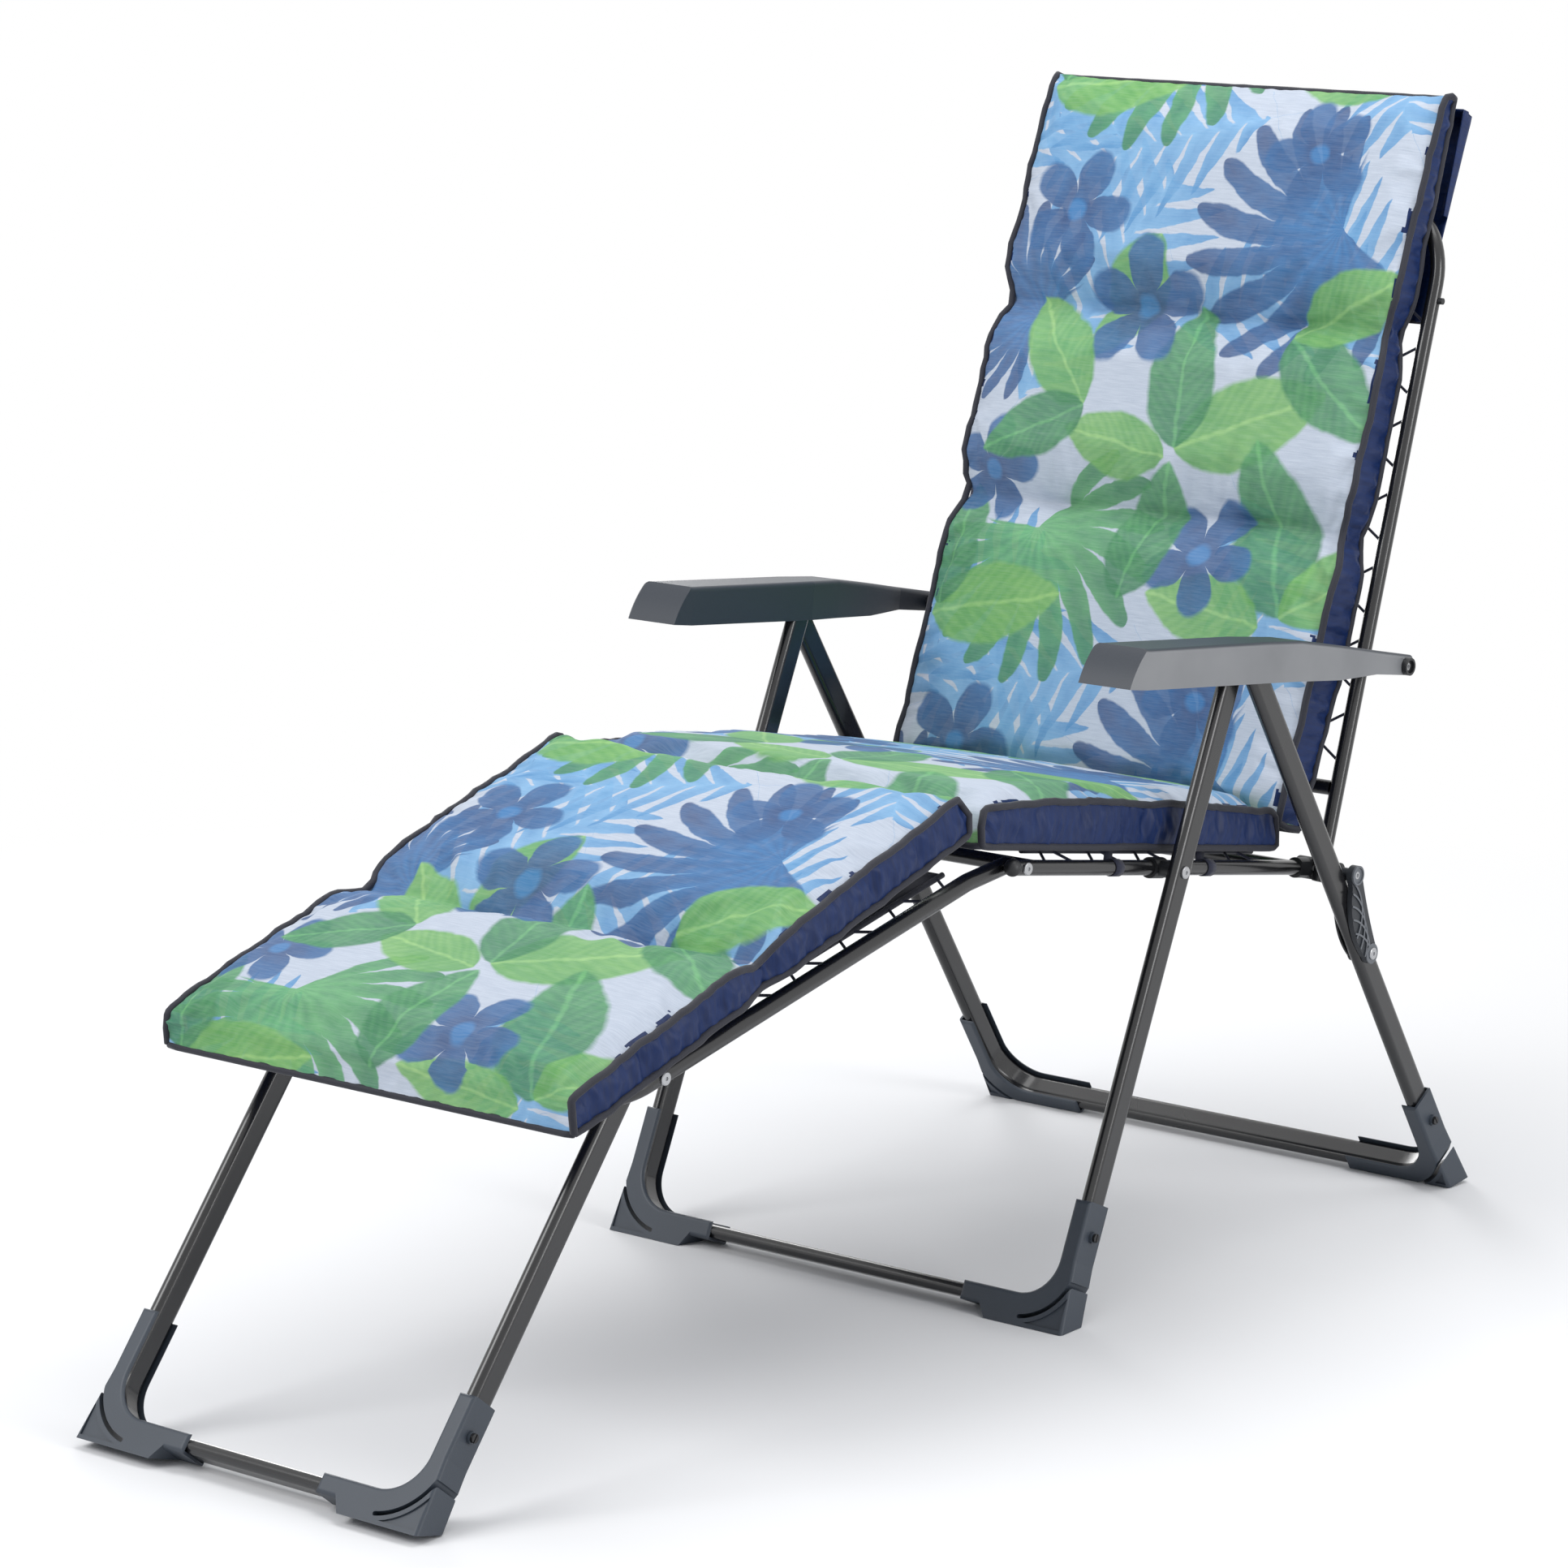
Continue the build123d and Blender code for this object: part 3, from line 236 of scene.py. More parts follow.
def link_plastic_painted_highlight():
    g = Graph("link_plastic_painted_highlight")
    place = g.object_place()
    grain = g.noise(place, 900.0, 2.0, 0.6)
    x, _, _ = g.split(place)
    # Painted highlight: the raised outer face is coloured a lighter grey as if lit, and the rest of the plate
    # darker as if shaded.
    raised_face_painted_highlight = g.over(g.sub(g.math("ABSOLUTE", x), LINK_FACE_X), 0.0012)
    color = g.mix(raised_face_painted_highlight, srgb(38, 42, 48), srgb(96, 100, 106))
    g.bump(grain, 0.2, 0.0004)
    return g.finish(color, g.add(0.42, g.mul(grain, 0.12)))


def zinc_steel():
    g = Graph("zinc_steel")
    place = g.object_place()
    scratch = g.noise(g.stretch(place, 1.0, 30.0, 30.0), 90.0, 3.0)
    color = g.mix(scratch, srgb(150, 152, 156), srgb(205, 206, 208))
    g.bump(scratch, 0.08, 0.0002)
    return g.finish(color, g.add(0.24, g.mul(scratch, 0.2)), metal=1.0)


def woven(name, dark, light, pitch, from_attribute=True):
    """Plain weave with slubs along the threads."""
    g = Graph(name)
    place = g.attribute("cloth") if from_attribute else g.object_place()
    x, y, z = g.split(place)
    warp = g.math("SINE", g.mul(x, math.tau / pitch))
    weft = g.math("SINE", g.mul(g.add(y, z), math.tau / pitch))
    slub = g.noise(g.stretch(place, 40.0, 500.0, 500.0), 1.0, 3.0)
    thread = g.add(g.mul(warp, 0.25), g.mul(weft, 0.25))
    color = g.mix(g.add(g.mul(slub, 0.7), g.mul(thread, 0.3)), dark, light)
    g.bump(thread, 0.3, 0.0003)
    return g.finish(color, 0.8, sheen=0.1)


def navy_satin():
    g = Graph("navy_satin")
    place = g.attribute("cloth")
    streak_and_painted_sheen = g.noise(g.stretch(place, 25.0, 240.0, 25.0), 1.0, 4.0, 0.6)
    fold = g.noise(g.stretch(place, 8.0, 70.0, 16.0), 1.0, 3.0, 0.5)
    # The stripes run between a shaded and a lit navy: partly the satin's own uneven tone, partly painted sheen and
    # shade.
    color = g.mix(streak_and_painted_sheen, srgb(2, 18, 52), srgb(6, 42, 98))
    g.bump(g.add(g.mul(fold, 0.8), g.mul(streak_and_painted_sheen, 0.2)), 0.5, 0.004)
    return g.finish(color, g.add(0.42, g.mul(streak_and_painted_sheen, 0.15)), specular=0.3)


def piping_cloth():
    g = Graph("piping_cloth")
    place = g.object_place()
    rib = g.noise(place, 700.0, 2.0)
    color = g.mix(rib, srgb(7, 9, 20), srgb(24, 27, 44))
    g.bump(rib, 0.35, 0.0006)
    return g.finish(color, 0.7, sheen=0.1)


# The cushion's printed cloth: loose leaves and blossoms on a pale linen ground

PRINT_REPEAT = 0.61
GROUND_DARK, GROUND_LIGHT = srgb(150, 162, 180), srgb(198, 205, 217)
PALE_BLUE = (srgb(62, 128, 180), srgb(124, 174, 212))
DEEP_BLUE = (srgb(0, 58, 112), srgb(14, 104, 164))
FRESH_GREEN = (srgb(82, 150, 68), srgb(144, 192, 106))
DEEP_GREEN = (srgb(30, 114, 66), srgb(92, 168, 96))
# kind, place across, place along, heading in degrees, length, tones
MOTIFS = [
    ("fern", -0.19, 0.10, 62, 0.287, PALE_BLUE),
    ("fern", 0.05, 0.44, 196, 0.265, PALE_BLUE),
    ("fern", 0.27, 0.17, 128, 0.23, PALE_BLUE),
    ("fern", -0.28, 0.36, 48, 0.241, PALE_BLUE),
    ("fern", -0.02, 0.2, 20, 0.24, PALE_BLUE),
    ("fern", 0.12, 0.02, 300, 0.22, PALE_BLUE),
    ("fern", -0.12, 0.4, 150, 0.24, PALE_BLUE),
    ("fan", 0.18, 0.32, 205, 0.195, DEEP_BLUE),
    ("fan", -0.13, 0.57, 300, 0.182, DEEP_GREEN),
    ("leaf", 0.03, 0.06, 24, 0.195, FRESH_GREEN),
    ("leaf", 0.03, 0.06, 96, 0.169, DEEP_GREEN),
    ("leaf", 0.02, 0.05, 170, 0.143, FRESH_GREEN),
    ("leaf", -0.25, 0.46, 12, 0.182, FRESH_GREEN),
    ("leaf", -0.24, 0.47, 88, 0.143, DEEP_GREEN),
    ("leaf", 0.21, 0.50, 112, 0.208, DEEP_GREEN),
    ("leaf", 0.21, 0.50, 40, 0.156, FRESH_GREEN),
    ("leaf", 0.19, 0.49, 172, 0.156, FRESH_GREEN),
    ("leaf", -0.05, 0.30, 250, 0.156, FRESH_GREEN),
    ("fan", -0.20, 0.20, 160, 0.143, DEEP_BLUE),
    ("bloom", -0.06, 0.22, 20, 0.081, DEEP_BLUE),
    ("bloom", 0.09, 0.56, 65, 0.073, DEEP_BLUE),
    ("bloom", -0.21, 0.02, 10, 0.065, DEEP_BLUE),
    ("leaf", 0.14, 0.2, 320, 0.17, DEEP_GREEN),
    ("leaf", 0.14, 0.2, 30, 0.15, FRESH_GREEN),
    ("leaf", -0.1, 0.1, 130, 0.16, FRESH_GREEN),
    ("leaf", -0.1, 0.1, 205, 0.14, DEEP_GREEN),
    ("leaf", 0.0, 0.5, 80, 0.16, DEEP_GREEN),
    ("bloom", 0.13, 0.4, 40, 0.07, DEEP_BLUE),
    ("bloom", -0.17, 0.32, 70, 0.075, DEEP_BLUE),
]


def leaf_shape(g, u, v):
    """Pointed oval with a pale midrib."""
    room = g.math("MAXIMUM", g.mul(u, g.sub(1.0, u)), 0.0)
    width = g.mul(g.power(room, 0.72), g.sub(0.86, g.mul(u, 0.3)))
    side = g.math("ABSOLUTE", v)
    mask = g.over(g.sub(width, side), 0.03)
    vein = g.math("SINE", g.mul(g.sub(u, g.mul(side, 1.1)), 70.0))
    rib = g.over(g.sub(0.02, side), 0.015)
    tone = g.add(g.add(g.mul(vein, 0.08), g.mul(rib, 0.5)), g.mul(u, 0.35))
    return mask, tone


def fern_shape(g, u, v):
    """Feather of slim leaflets swept towards the tip."""
    side = g.math("ABSOLUTE", v)
    root = g.sub(u, g.mul(side, 0.75))
    room = g.math("MAXIMUM", g.mul(root, g.sub(1.04, root)), 0.0)
    reach = g.add(g.mul(g.power(room, 0.55), 0.78), 0.001)
    turn = g.add(g.mul(root, 8.0), g.mul(g.math("SIGN", v), 0.22))
    gap = g.mul(g.math("ABSOLUTE", g.sub(g.math("FRACT", turn), 0.5)), 2.0)
    left = g.math("MAXIMUM", g.sub(1.0, g.div(side, reach)), 0.0)
    width = g.mul(g.power(left, 0.6), 0.98)
    blades = g.over(g.sub(width, gap), 0.08)
    span = g.over(g.mul(g.sub(1.0, u), u), 0.01)
    stem = g.mul(g.over(g.sub(0.012, side), 0.006), span)
    mask = g.math("MAXIMUM", blades, stem)
    return mask, g.add(g.mul(left, 0.5), g.mul(gap, 0.25))


def fan_shape(g, u, v):
    """Fan split into slim blades round its foot."""
    angle = g.math("ARCTAN2", v, u)
    far = g.math("SQRT", g.add(g.mul(u, u), g.mul(v, v)))
    bend = g.add(angle, g.mul(far, 0.35))
    gap = g.mul(g.math("ABSOLUTE", g.sub(g.math("FRACT", g.mul(bend, 3.1)), 0.5)), 2.0)
    reach = g.sub(1.0, g.mul(g.mul(angle, angle), 0.085))
    left = g.math("MAXIMUM", g.sub(1.0, g.div(far, reach)), 0.0)
    width = g.mul(g.power(left, 0.42), 1.35)
    blades = g.over(g.sub(width, gap), 0.1)
    sector = g.over(g.sub(2.15, g.math("ABSOLUTE", angle)), 0.06)
    return g.mul(blades, sector), g.add(g.mul(left, 0.6), g.mul(gap, 0.3))


def bloom_shape(g, u, v):
    """Five rounded petals."""
    angle = g.math("ARCTAN2", v, u)
    far = g.math("SQRT", g.add(g.mul(u, u), g.mul(v, v)))
    petal = g.math("ABSOLUTE", g.math("COSINE", g.mul(angle, 2.5)))
    reach = g.add(g.mul(g.power(petal, 0.6), 0.72), 0.28)
    mask = g.over(g.sub(reach, far), 0.08)
    heart = g.over(g.sub(0.2, far), 0.08)
    return mask, g.add(g.mul(far, 0.55), heart)


SHAPES = {"leaf": leaf_shape, "fern": fern_shape, "fan": fan_shape, "bloom": bloom_shape}


def printed_linen():
    g = Graph("printed_linen")
    place = g.attribute("cloth")
    x, s, _ = g.split(place)
    wobble_x = g.mul(g.sub(g.noise(place, 26.0, 3.0), 0.5), 0.012)
    wobble_s = g.mul(g.sub(g.noise(g.stretch(place, 1.3, 0.9, 1.0), 24.0, 3.0), 0.5), 0.012)
    x = g.add(x, wobble_x)
    s = g.add(s, wobble_s)
    slub = g.noise(g.stretch(place, 45.0, 700.0, 45.0), 1.0, 3.0, 0.6)
    fine = g.noise(place, 1100.0, 2.0)
    color = g.mix(g.add(g.mul(slub, 0.75), g.mul(fine, 0.3)), GROUND_DARK, GROUND_LIGHT)
    wash = g.noise(place, 34.0, 4.0, 0.6)
    for kind, across, along, heading, length, tones in MOTIFS:
        c, t = math.cos(math.radians(heading)) / length, math.sin(math.radians(heading)) / length
        dx = g.sub(x, across)
        ds = g.math("WRAP", g.sub(s, along), PRINT_REPEAT / 2, -PRINT_REPEAT / 2)
        u = g.add(g.mul(dx, c), g.mul(ds, t))
        v = g.sub(g.mul(ds, c), g.mul(dx, t))
        mask, tone = SHAPES[kind](g, u, v)
        shade = g.math("MULTIPLY_ADD", wash, 0.9, g.sub(tone, 0.45), clamp=True)
        color = g.mix(g.mul(mask, 0.92), color, g.mix(shade, tones[0], tones[1]))
    color = g.mix(g.mul(slub, 0.16), color, srgb(236, 240, 246))
    g.bump(g.add(g.mul(slub, 0.6), g.mul(fine, 0.4)), 0.35, 0.0005)
    return g.finish(color, 0.85, specular=0.2)


painted = painted_tube()
foot_plastic = moulded("foot_plastic", srgb(42, 49, 58), srgb(68, 76, 87), 0.4)
black_plastic = moulded("black_plastic", srgb(16, 17, 20), srgb(34, 36, 40), 0.38)
armrest_with_painted_reflection = armrest_plastic()
link_material_painted_highlight = link_plastic_painted_highlight()
steel = zinc_steel()
black_steel = moulded("black_steel", srgb(12, 12, 14), srgb(26, 26, 29), 0.3)
mesh_cloth = woven("mesh_cloth", srgb(12, 14, 24), srgb(34, 38, 54), 0.0022)
elastic_cloth = woven("elastic_cloth", srgb(10, 13, 30), srgb(40, 46, 72), 0.0012, from_attribute=False)
satin = navy_satin()
piping = piping_cloth()
linen = printed_linen()

NODE_MATERIALS = {
    "oval_tube": painted,
    "round_tube": painted,
    "foot_plastic": foot_plastic,
    "armrest_plastic": armrest_with_painted_reflection,
    "black_plastic": black_plastic,
    "zinc_steel": steel,
    "black_steel": black_steel,
    "sling_cloth": mesh_cloth,
    "elastic": elastic_cloth,
    "cushion_cover": linen,
    "hood_cloth": satin,
}


def dress_nodes():
    slots = {p["node"]: p["material_slot"] for p in frame["record"]["subparts"]}
    for name, obj in nodes.items():
        material = NODE_MATERIALS[slots[name]]
        if name.startswith("link_outer"):
            material = link_material_painted_highlight
        obj.data.materials.clear()
        obj.data.materials.append(material)


# Mesh helpers


def new_object(name, points, faces, material, smooth=True):
    mesh = bpy.data.meshes.new(name)
    mesh.from_pydata([tuple(p) for p in points], [], faces)
    mesh.update()
    obj = bpy.data.objects.new(name, mesh)
    bpy.context.scene.collection.objects.link(obj)
    if material:
        mesh.materials.append(material)
    if smooth:
        mesh.polygons.foreach_set("use_smooth", [True] * len(mesh.polygons))
    return obj


def coords(mesh):
    co = np.empty(len(mesh.vertices) * 3)
    mesh.vertices.foreach_get("co", co)
    return co.reshape(-1, 3)


def set_coords(mesh, co):
    mesh.vertices.foreach_set("co", co.reshape(-1))
    mesh.update()


def write_cloth(obj, cloth):
    """Places on the flat cloth, which the woven and printed materials read."""
    attribute = obj.data.attributes.new("cloth", "FLOAT_VECTOR", "POINT")
    attribute.data.foreach_set("vector", np.asarray(cloth, np.float32).reshape(-1))


def apply_modifiers(obj):
    graph = bpy.context.evaluated_depsgraph_get()
    mesh = bpy.data.meshes.new_from_object(obj.evaluated_get(graph), depsgraph=graph)
    obj.modifiers.clear()
    obj.data = mesh


def tube(name, path, radius, material, closed=False, sides=10):
    """Round tube mesh along a path of points."""
    path = [Vector(p) for p in path]
    count = len(path)
    points, faces = [], []
    previous = None
    for k, p in enumerate(path):
        ahead = path[(k + 1) % count] if closed or k + 1 < count else p
        behind = path[k - 1] if closed or k else p
        heading = (ahead - behind).normalized()
        if previous is None:
            lift = Vector((1, 0, 0)) if abs(heading.x) < 0.8 else Vector((0, 0, 1))
        else:
            lift = previous
        side = (lift - heading * lift.dot(heading)).normalized()
        previous = side
        other = heading.cross(side)
        for j in range(sides):
            a = math.tau * j / sides
            points.append(p + (side * math.cos(a) + other * math.sin(a)) * radius)
    rings = count if closed else count - 1
    for k in range(rings):
        for j in range(sides):
            a, b = k * sides + j, k * sides + (j + 1) % sides
            c, d = ((k + 1) % count) * sides + (j + 1) % sides, ((k + 1) % count) * sides + j
            faces.append((a, b, c, d))
    if not closed:
        faces.append(tuple(reversed(range(sides))))
        faces.append(tuple((count - 1) * sides + j for j in range(sides)))
    return new_object(name, points, faces, material)


def ripple(x, y, z, scale):
    """Smooth uneven wave between about -0.6 and 0.6."""
    a, b, c = x * scale, y * scale, z * scale
    wave = np.sin(1.9 * a + 2.6 * b + 0.8 * c) + np.sin(1.3 - 3.1 * a + 1.2 * b + 2.0 * c)
    wave = wave + np.sin(2.1 + 0.7 * a - 3.3 * b + 2.9 * c) + np.sin(0.4 + 4.3 * a + 3.7 * b - 1.4 * c)
    return 0.2 * wave


# Padded cushions


BINDING = 0.0038
SWELL_CAP, SQUASH_KEEP = 0.012, 0.3
SWELL_FRAMES, SWELL_PRESSURE = 20, 4.0
GROOVE_DEPTH, GROOVE_WIDE, GROOVE_SOFT = 0.0035, 0.006, 0.022
TACK_WIDE, PUCKER_DEPTH, GATHER_DEPTH = 0.03, 0.004, 0.0016
FINE_VOXEL, QUICK_VOXEL = 0.006, 0.009
RING_STEP = 0.012
# A face belongs to the gusset when it leans out enough and lies this near to the sewn edge
FLANK_LEAN, FLANK_EDGE, FACE_EDGE = 0.55, 0.012, 0.0035


def sewn_on(skin, point):
    """Nearest place on the cushion's skin, a little proud of it."""
    place, normal, _, _ = skin.find_nearest(Vector(point))
    return place + normal * BINDING * 0.3


class Cushion:
    """Outline of one cushion in its own panel: edges, seams and swell, all in metres."""

    def __init__(self, name, panel, start, end, half, base, top, seams, tacks, print_start):
        self.name, self.panel = name, panel
        self.start, self.end, self.half_width = start, end, half
        self.base_line, self.top_line = base, top
        self.seams, self.tacks = seams, tacks
        self.print_start = print_start

    def near_seam(self, s, reach):
        return sum(np.exp(-(((s - seam) / reach) ** 2)) for seam in self.seams)

    def half(self, s):
        wave = 0.0018 * ripple(s, 0.3, 0.1, 14.0)
        return self.half_width - 0.009 * self.near_seam(s, 0.022) + wave

    def base(self, s):
        return self.base_line(s)

    def top(self, s):
        wave = 0.0018 * ripple(s, 1.7, 0.4, 12.0)
        return self.top_line(s) - 0.011 * self.near_seam(s, 0.026) + wave

    def loop(self, s, inset, round_off):
        """Closed loop of (x, n) round the cushion at s."""
        half, base, top = self.half(s) - inset, self.base(s) + inset, self.top(s) - inset
        top -= round_off
        wide, high = 22, 5
        points = []
        for k in range(wide):
            points.append((-half + 2 * half * k / wide, base))
        for k in range(high):
            t = k / high
            points.append((half + 0.003 * math.sin(math.pi * t), base + (top - base) * t))
        for k in range(wide):
            t = k / wide
            points.append((half - 2 * half * t, top + 0.004 * math.sin(math.pi * t)))
        for k in range(high):
            t = 1 - k / high
            points.append((-half - 0.003 * math.sin(math.pi * t), base + (top - base) * t))
        return points

    def blank(self):
        """Closed starting mesh, a little smaller than the finished pad."""
        length = self.end - self.start
        count = int(length / RING_STEP)
        points, faces = [], []
        for k in range(count + 1):
            s = self.start + length * k / count
            end_gap = min(s - self.start, self.end - s)
            round_off = 0.007 * max(0.0, 1 - end_gap / 0.016) ** 2
            points += [(x, s, n) for x, n in self.loop(s, 0.002, round_off)]
        ring = len(points) // (count + 1)
        for k in range(count):
            for j in range(ring):
                a, b = k * ring + j, k * ring + (j + 1) % ring
                faces.append((a, b, b + ring, a + ring))
        faces.append(tuple(reversed(range(ring))))
        faces.append(tuple(count * ring + j for j in range(ring)))
        return new_object(self.name, points, faces, None)

    def edge_distance(self, co):
        """Distance of each point to the nearer of the panel's sewn long edges."""
        best = np.full(len(co), 1.0)
        side = np.abs(co[:, 0]) - self.half(co[:, 1])
        for line in (self.base, self.top):
            best = np.minimum(best, np.hypot(side, co[:, 2] - line(co[:, 1])))
        return best

    def remesh(self, obj):
        modifier = obj.modifiers.new("even", "REMESH")
        modifier.mode = "VOXEL"
        modifier.voxel_size = FINE_VOXEL
        apply_modifiers(obj)

    def swell(self, obj):
        """Cloth blown up from inside, held along its sewn edges and seams."""
        rest = coords(obj.data)
        held = np.clip(1.6 - self.edge_distance(rest) / 0.006, 0, 1)
        for seam in self.seams:
            near = np.exp(-(((rest[:, 1] - seam) / 0.008) ** 2)) * (rest[:, 2] > self.base(seam) + 0.02)
            held = np.maximum(held, near * 0.9)
        below = rest[:, 2] < self.base(rest[:, 1]) + 0.006
        held[below] = 1.0
        group = obj.vertex_groups.new(name="held")
        for k in np.nonzero(held > 0.02)[0]:
            group.add([int(k)], float(held[k]), "REPLACE")
        modifier = obj.modifiers.new("cloth", "CLOTH")
        settings = modifier.settings
        settings.use_pressure = True
        settings.uniform_pressure_force = SWELL_PRESSURE
        settings.effector_weights.gravity = 0.0
        settings.vertex_group_mass = "held"
        settings.tension_stiffness = 12.0
        settings.compression_stiffness = 12.0
        settings.shear_stiffness = 6.0
        settings.bending_stiffness = 0.6
        settings.shrink_min = -0.035
        modifier.collision_settings.use_self_collision = False
        scene = bpy.context.scene
        for k in range(1, SWELL_FRAMES + 1):
            scene.frame_set(k)
        apply_modifiers(obj)
        scene.frame_set(1)
        move = coords(obj.data) - rest
        length = np.linalg.norm(move, axis=1)
        share = np.where(length > SWELL_CAP, SWELL_CAP / np.maximum(length, 1e-9), 1.0)
        set_coords(obj.data, rest + move * share[:, None])

    def sew(self, obj):
        """Grooves and gathers at the seams, and puckers down the gussets."""
        co = coords(obj.data)
        normals = np.empty(len(co) * 3)
        obj.data.vertices.foreach_get("normal", normals)
        normals = normals.reshape(-1, 3)
        top, base, half = self.top(co[:, 1]), self.base(co[:, 1]), self.half(co[:, 1])
        upper = np.clip((co[:, 2] - (top - 0.012)) / 0.008, 0, 1) * np.clip(normals[:, 2] * 2, 0, 1)
        drop = np.zeros(len(co))
        for seam in self.seams:
            away = co[:, 1] - seam - 0.006 * ripple(co[:, 0], seam, 0.0, 7.0)
            depth = np.full(len(co), GROOVE_DEPTH)
            for across, strength in self.tacks:
                depth += strength * np.exp(-(((co[:, 0] - across) / TACK_WIDE) ** 2))
            drop += depth * (np.exp(-((away / GROOVE_WIDE) ** 2))
                             + 0.6 * np.exp(-((away / GROOVE_SOFT) ** 2)))
            for across, strength in self.tacks:
                dx, far = co[:, 0] - across, np.hypot(co[:, 0] - across, away)
                ray = np.cos(np.arctan2(away, dx) * 9 + 3 * across)
                drop += 0.16 * strength * ray * np.exp(-far / TACK_WIDE) * np.clip(far / 0.012, 0, 1)
        gather = ripple(co[:, 0] * 2.2, co[:, 1] * 9.0, 0.7, 9.0)
        rim = np.exp(-((half - np.abs(co[:, 0])) / 0.022))
        drop += GATHER_DEPTH * gather * rim
        moved = co.copy()
        moved[:, 2] -= drop * upper
        middle = np.clip((co[:, 2] - base) / np.maximum(top - base, 1e-4), 0, 1)
        flank = np.clip(np.abs(normals[:, 0]) * 1.4 - 0.3, 0, 1) * np.sin(math.pi * middle)
        pucker = ripple(co[:, 2] * 0.25, co[:, 1], 0.2 + (co[:, 0] > 0), 62.0)
        pucker += 0.6 * ripple(co[:, 2] * 0.5, co[:, 1], 4.2, 130.0)
        moved[:, 0] += np.sign(co[:, 0]) * flank * (PUCKER_DEPTH * pucker)
        set_coords(obj.data, moved)

    def colour(self, obj):
        """Printed cloth on the face and the ends, satin on the long sides and below."""
        obj.data.materials.clear()
        for material in (linen, satin):
            obj.data.materials.append(material)
        co = coords(obj.data)
        mesh = obj.data
        count = len(mesh.polygons)
        centre, normal = np.empty(count * 3), np.empty(count * 3)
        mesh.polygons.foreach_get("center", centre)
        mesh.polygons.foreach_get("normal", normal)
        centre, normal = centre.reshape(-1, 3), normal.reshape(-1, 3)
        top, base, half = self.top(centre[:, 1]), self.base(centre[:, 1]), self.half(centre[:, 1])
        flank = np.abs(normal[:, 0]) > FLANK_LEAN
        near_edge = np.abs(centre[:, 0]) > half - np.where(flank, FLANK_EDGE, FACE_EDGE)
        side = near_edge & (centre[:, 2] < top + 0.001)
        inside_ends = (centre[:, 1] > self.start + 0.004) & (centre[:, 1] < self.end - 0.004)
        under = (centre[:, 2] < base + 0.004) & (normal[:, 2] < -0.3)
        mesh.polygons.foreach_set("material_index", ((side & inside_ends) | under).astype(np.int32))
        mesh.polygons.foreach_set("use_smooth", np.ones(count, bool))
        fold = np.minimum(0.0, co[:, 2] - self.top(co[:, 1]))
        at_start = co[:, 1] < self.start + 0.02
        along = co[:, 1] + np.where(at_start, fold, 0.0) + self.print_start
        write_cloth(obj, np.stack([co[:, 0], along, co[:, 2]], axis=1))

    def edge_line(self, line, side, count=60, proud=0.0008):
        points = []
        for k in range(count + 1):
            s = self.start + 0.004 + (self.end - self.start - 0.008) * k / count
            points.append((side * (self.half(s) + proud), s, line(s)))
        return points

    def gusset_piping(self, side):
        """Closed run of piping round one long side."""
        upper = self.edge_line(self.top, side)
        lower = self.edge_line(lambda s: self.base(s) + 0.001, side)
        far = [(upper[-1][0], self.end - 0.001, upper[-1][2] + (lower[-1][2] - upper[-1][2]) * t)
               for t in (0.12, 0.5, 0.88)]
        near = [(upper[0][0], self.start + 0.001, lower[0][2] + (upper[0][2] - lower[0][2]) * t)
                for t in (0.12, 0.5, 0.88)]
        return upper + far + list(reversed(lower)) + near

    def build(self, body, cad_nodes):
        obj = self.blank()
        self.remesh(obj)
        self.swell(obj)
        modifier = obj.modifiers.new("fine", "SUBSURF")
        modifier.levels = 1
        apply_modifiers(obj)
        self.sew(obj)
        self.colour(obj)
        world = self.panel.matrix()
        pieces = [obj]
        skin = BVHTree.FromObject(obj, bpy.context.evaluated_depsgraph_get())
        for side, label in ((1, "left"), (-1, "right")):
            path = [sewn_on(skin, p) for p in self.gusset_piping(side)]
            pieces.append(tube(f"{self.name}_piping_{label}", path, BINDING, piping, closed=True))
        for s, label in ((self.start, "front"), (self.end, "rear")):
            half = self.half(s)
            level = self.base(s) + 0.001
            line = [(-half + 2 * half * k / 40, s + (0.001 if s < 0 else -0.001),
                     level + 0.001 * ripple(k * 0.3, s, 0, 3.0)) for k in range(41)]
            line = [sewn_on(skin, p) for p in line]
            pieces.append(tube(f"{self.name}_hem_{label}", line, BINDING, piping))
        for piece in pieces:
            piece.data.transform(world)
            piece.data.update()
            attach(piece, body)
            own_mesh(piece)
        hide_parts(*cad_nodes)
        return obj


def line_through(points):
    """Piecewise straight function of s through (s, value) pairs."""
    xs, ys = zip(*points)
    return lambda s: np.interp(s, xs, ys)


CUSHION_HALF = 0.260
seat_cushion = Cushion(
    "seat_pad", seat_panel, start=-0.312, end=0.216, half=CUSHION_HALF,
    base=line_through([(-0.312, 0.0172), (0.226, 0.0172)]),
    top=line_through([(-0.312, 0.063), (-0.13, 0.072), (0.1, 0.067), (0.216, 0.062)]),
    seams=[], tacks=[], print_start=0.312,
)
back_cushion = Cushion(
    "back_pad", back_panel, start=0.034, end=0.841, half=CUSHION_HALF,
    base=line_through([(0.034, 0.034), (0.236, 0.0105), (0.60, 0.0105), (0.841, 0.0105)]),
    top=line_through([(0.034, 0.083), (0.278, 0.068), (0.626, 0.0535), (0.841, 0.036)]),
    seams=[0.352, 0.576], tacks=[(-0.12, 0.006), (0.03, 0.004), (0.13, 0.008)], print_start=0.86,
)
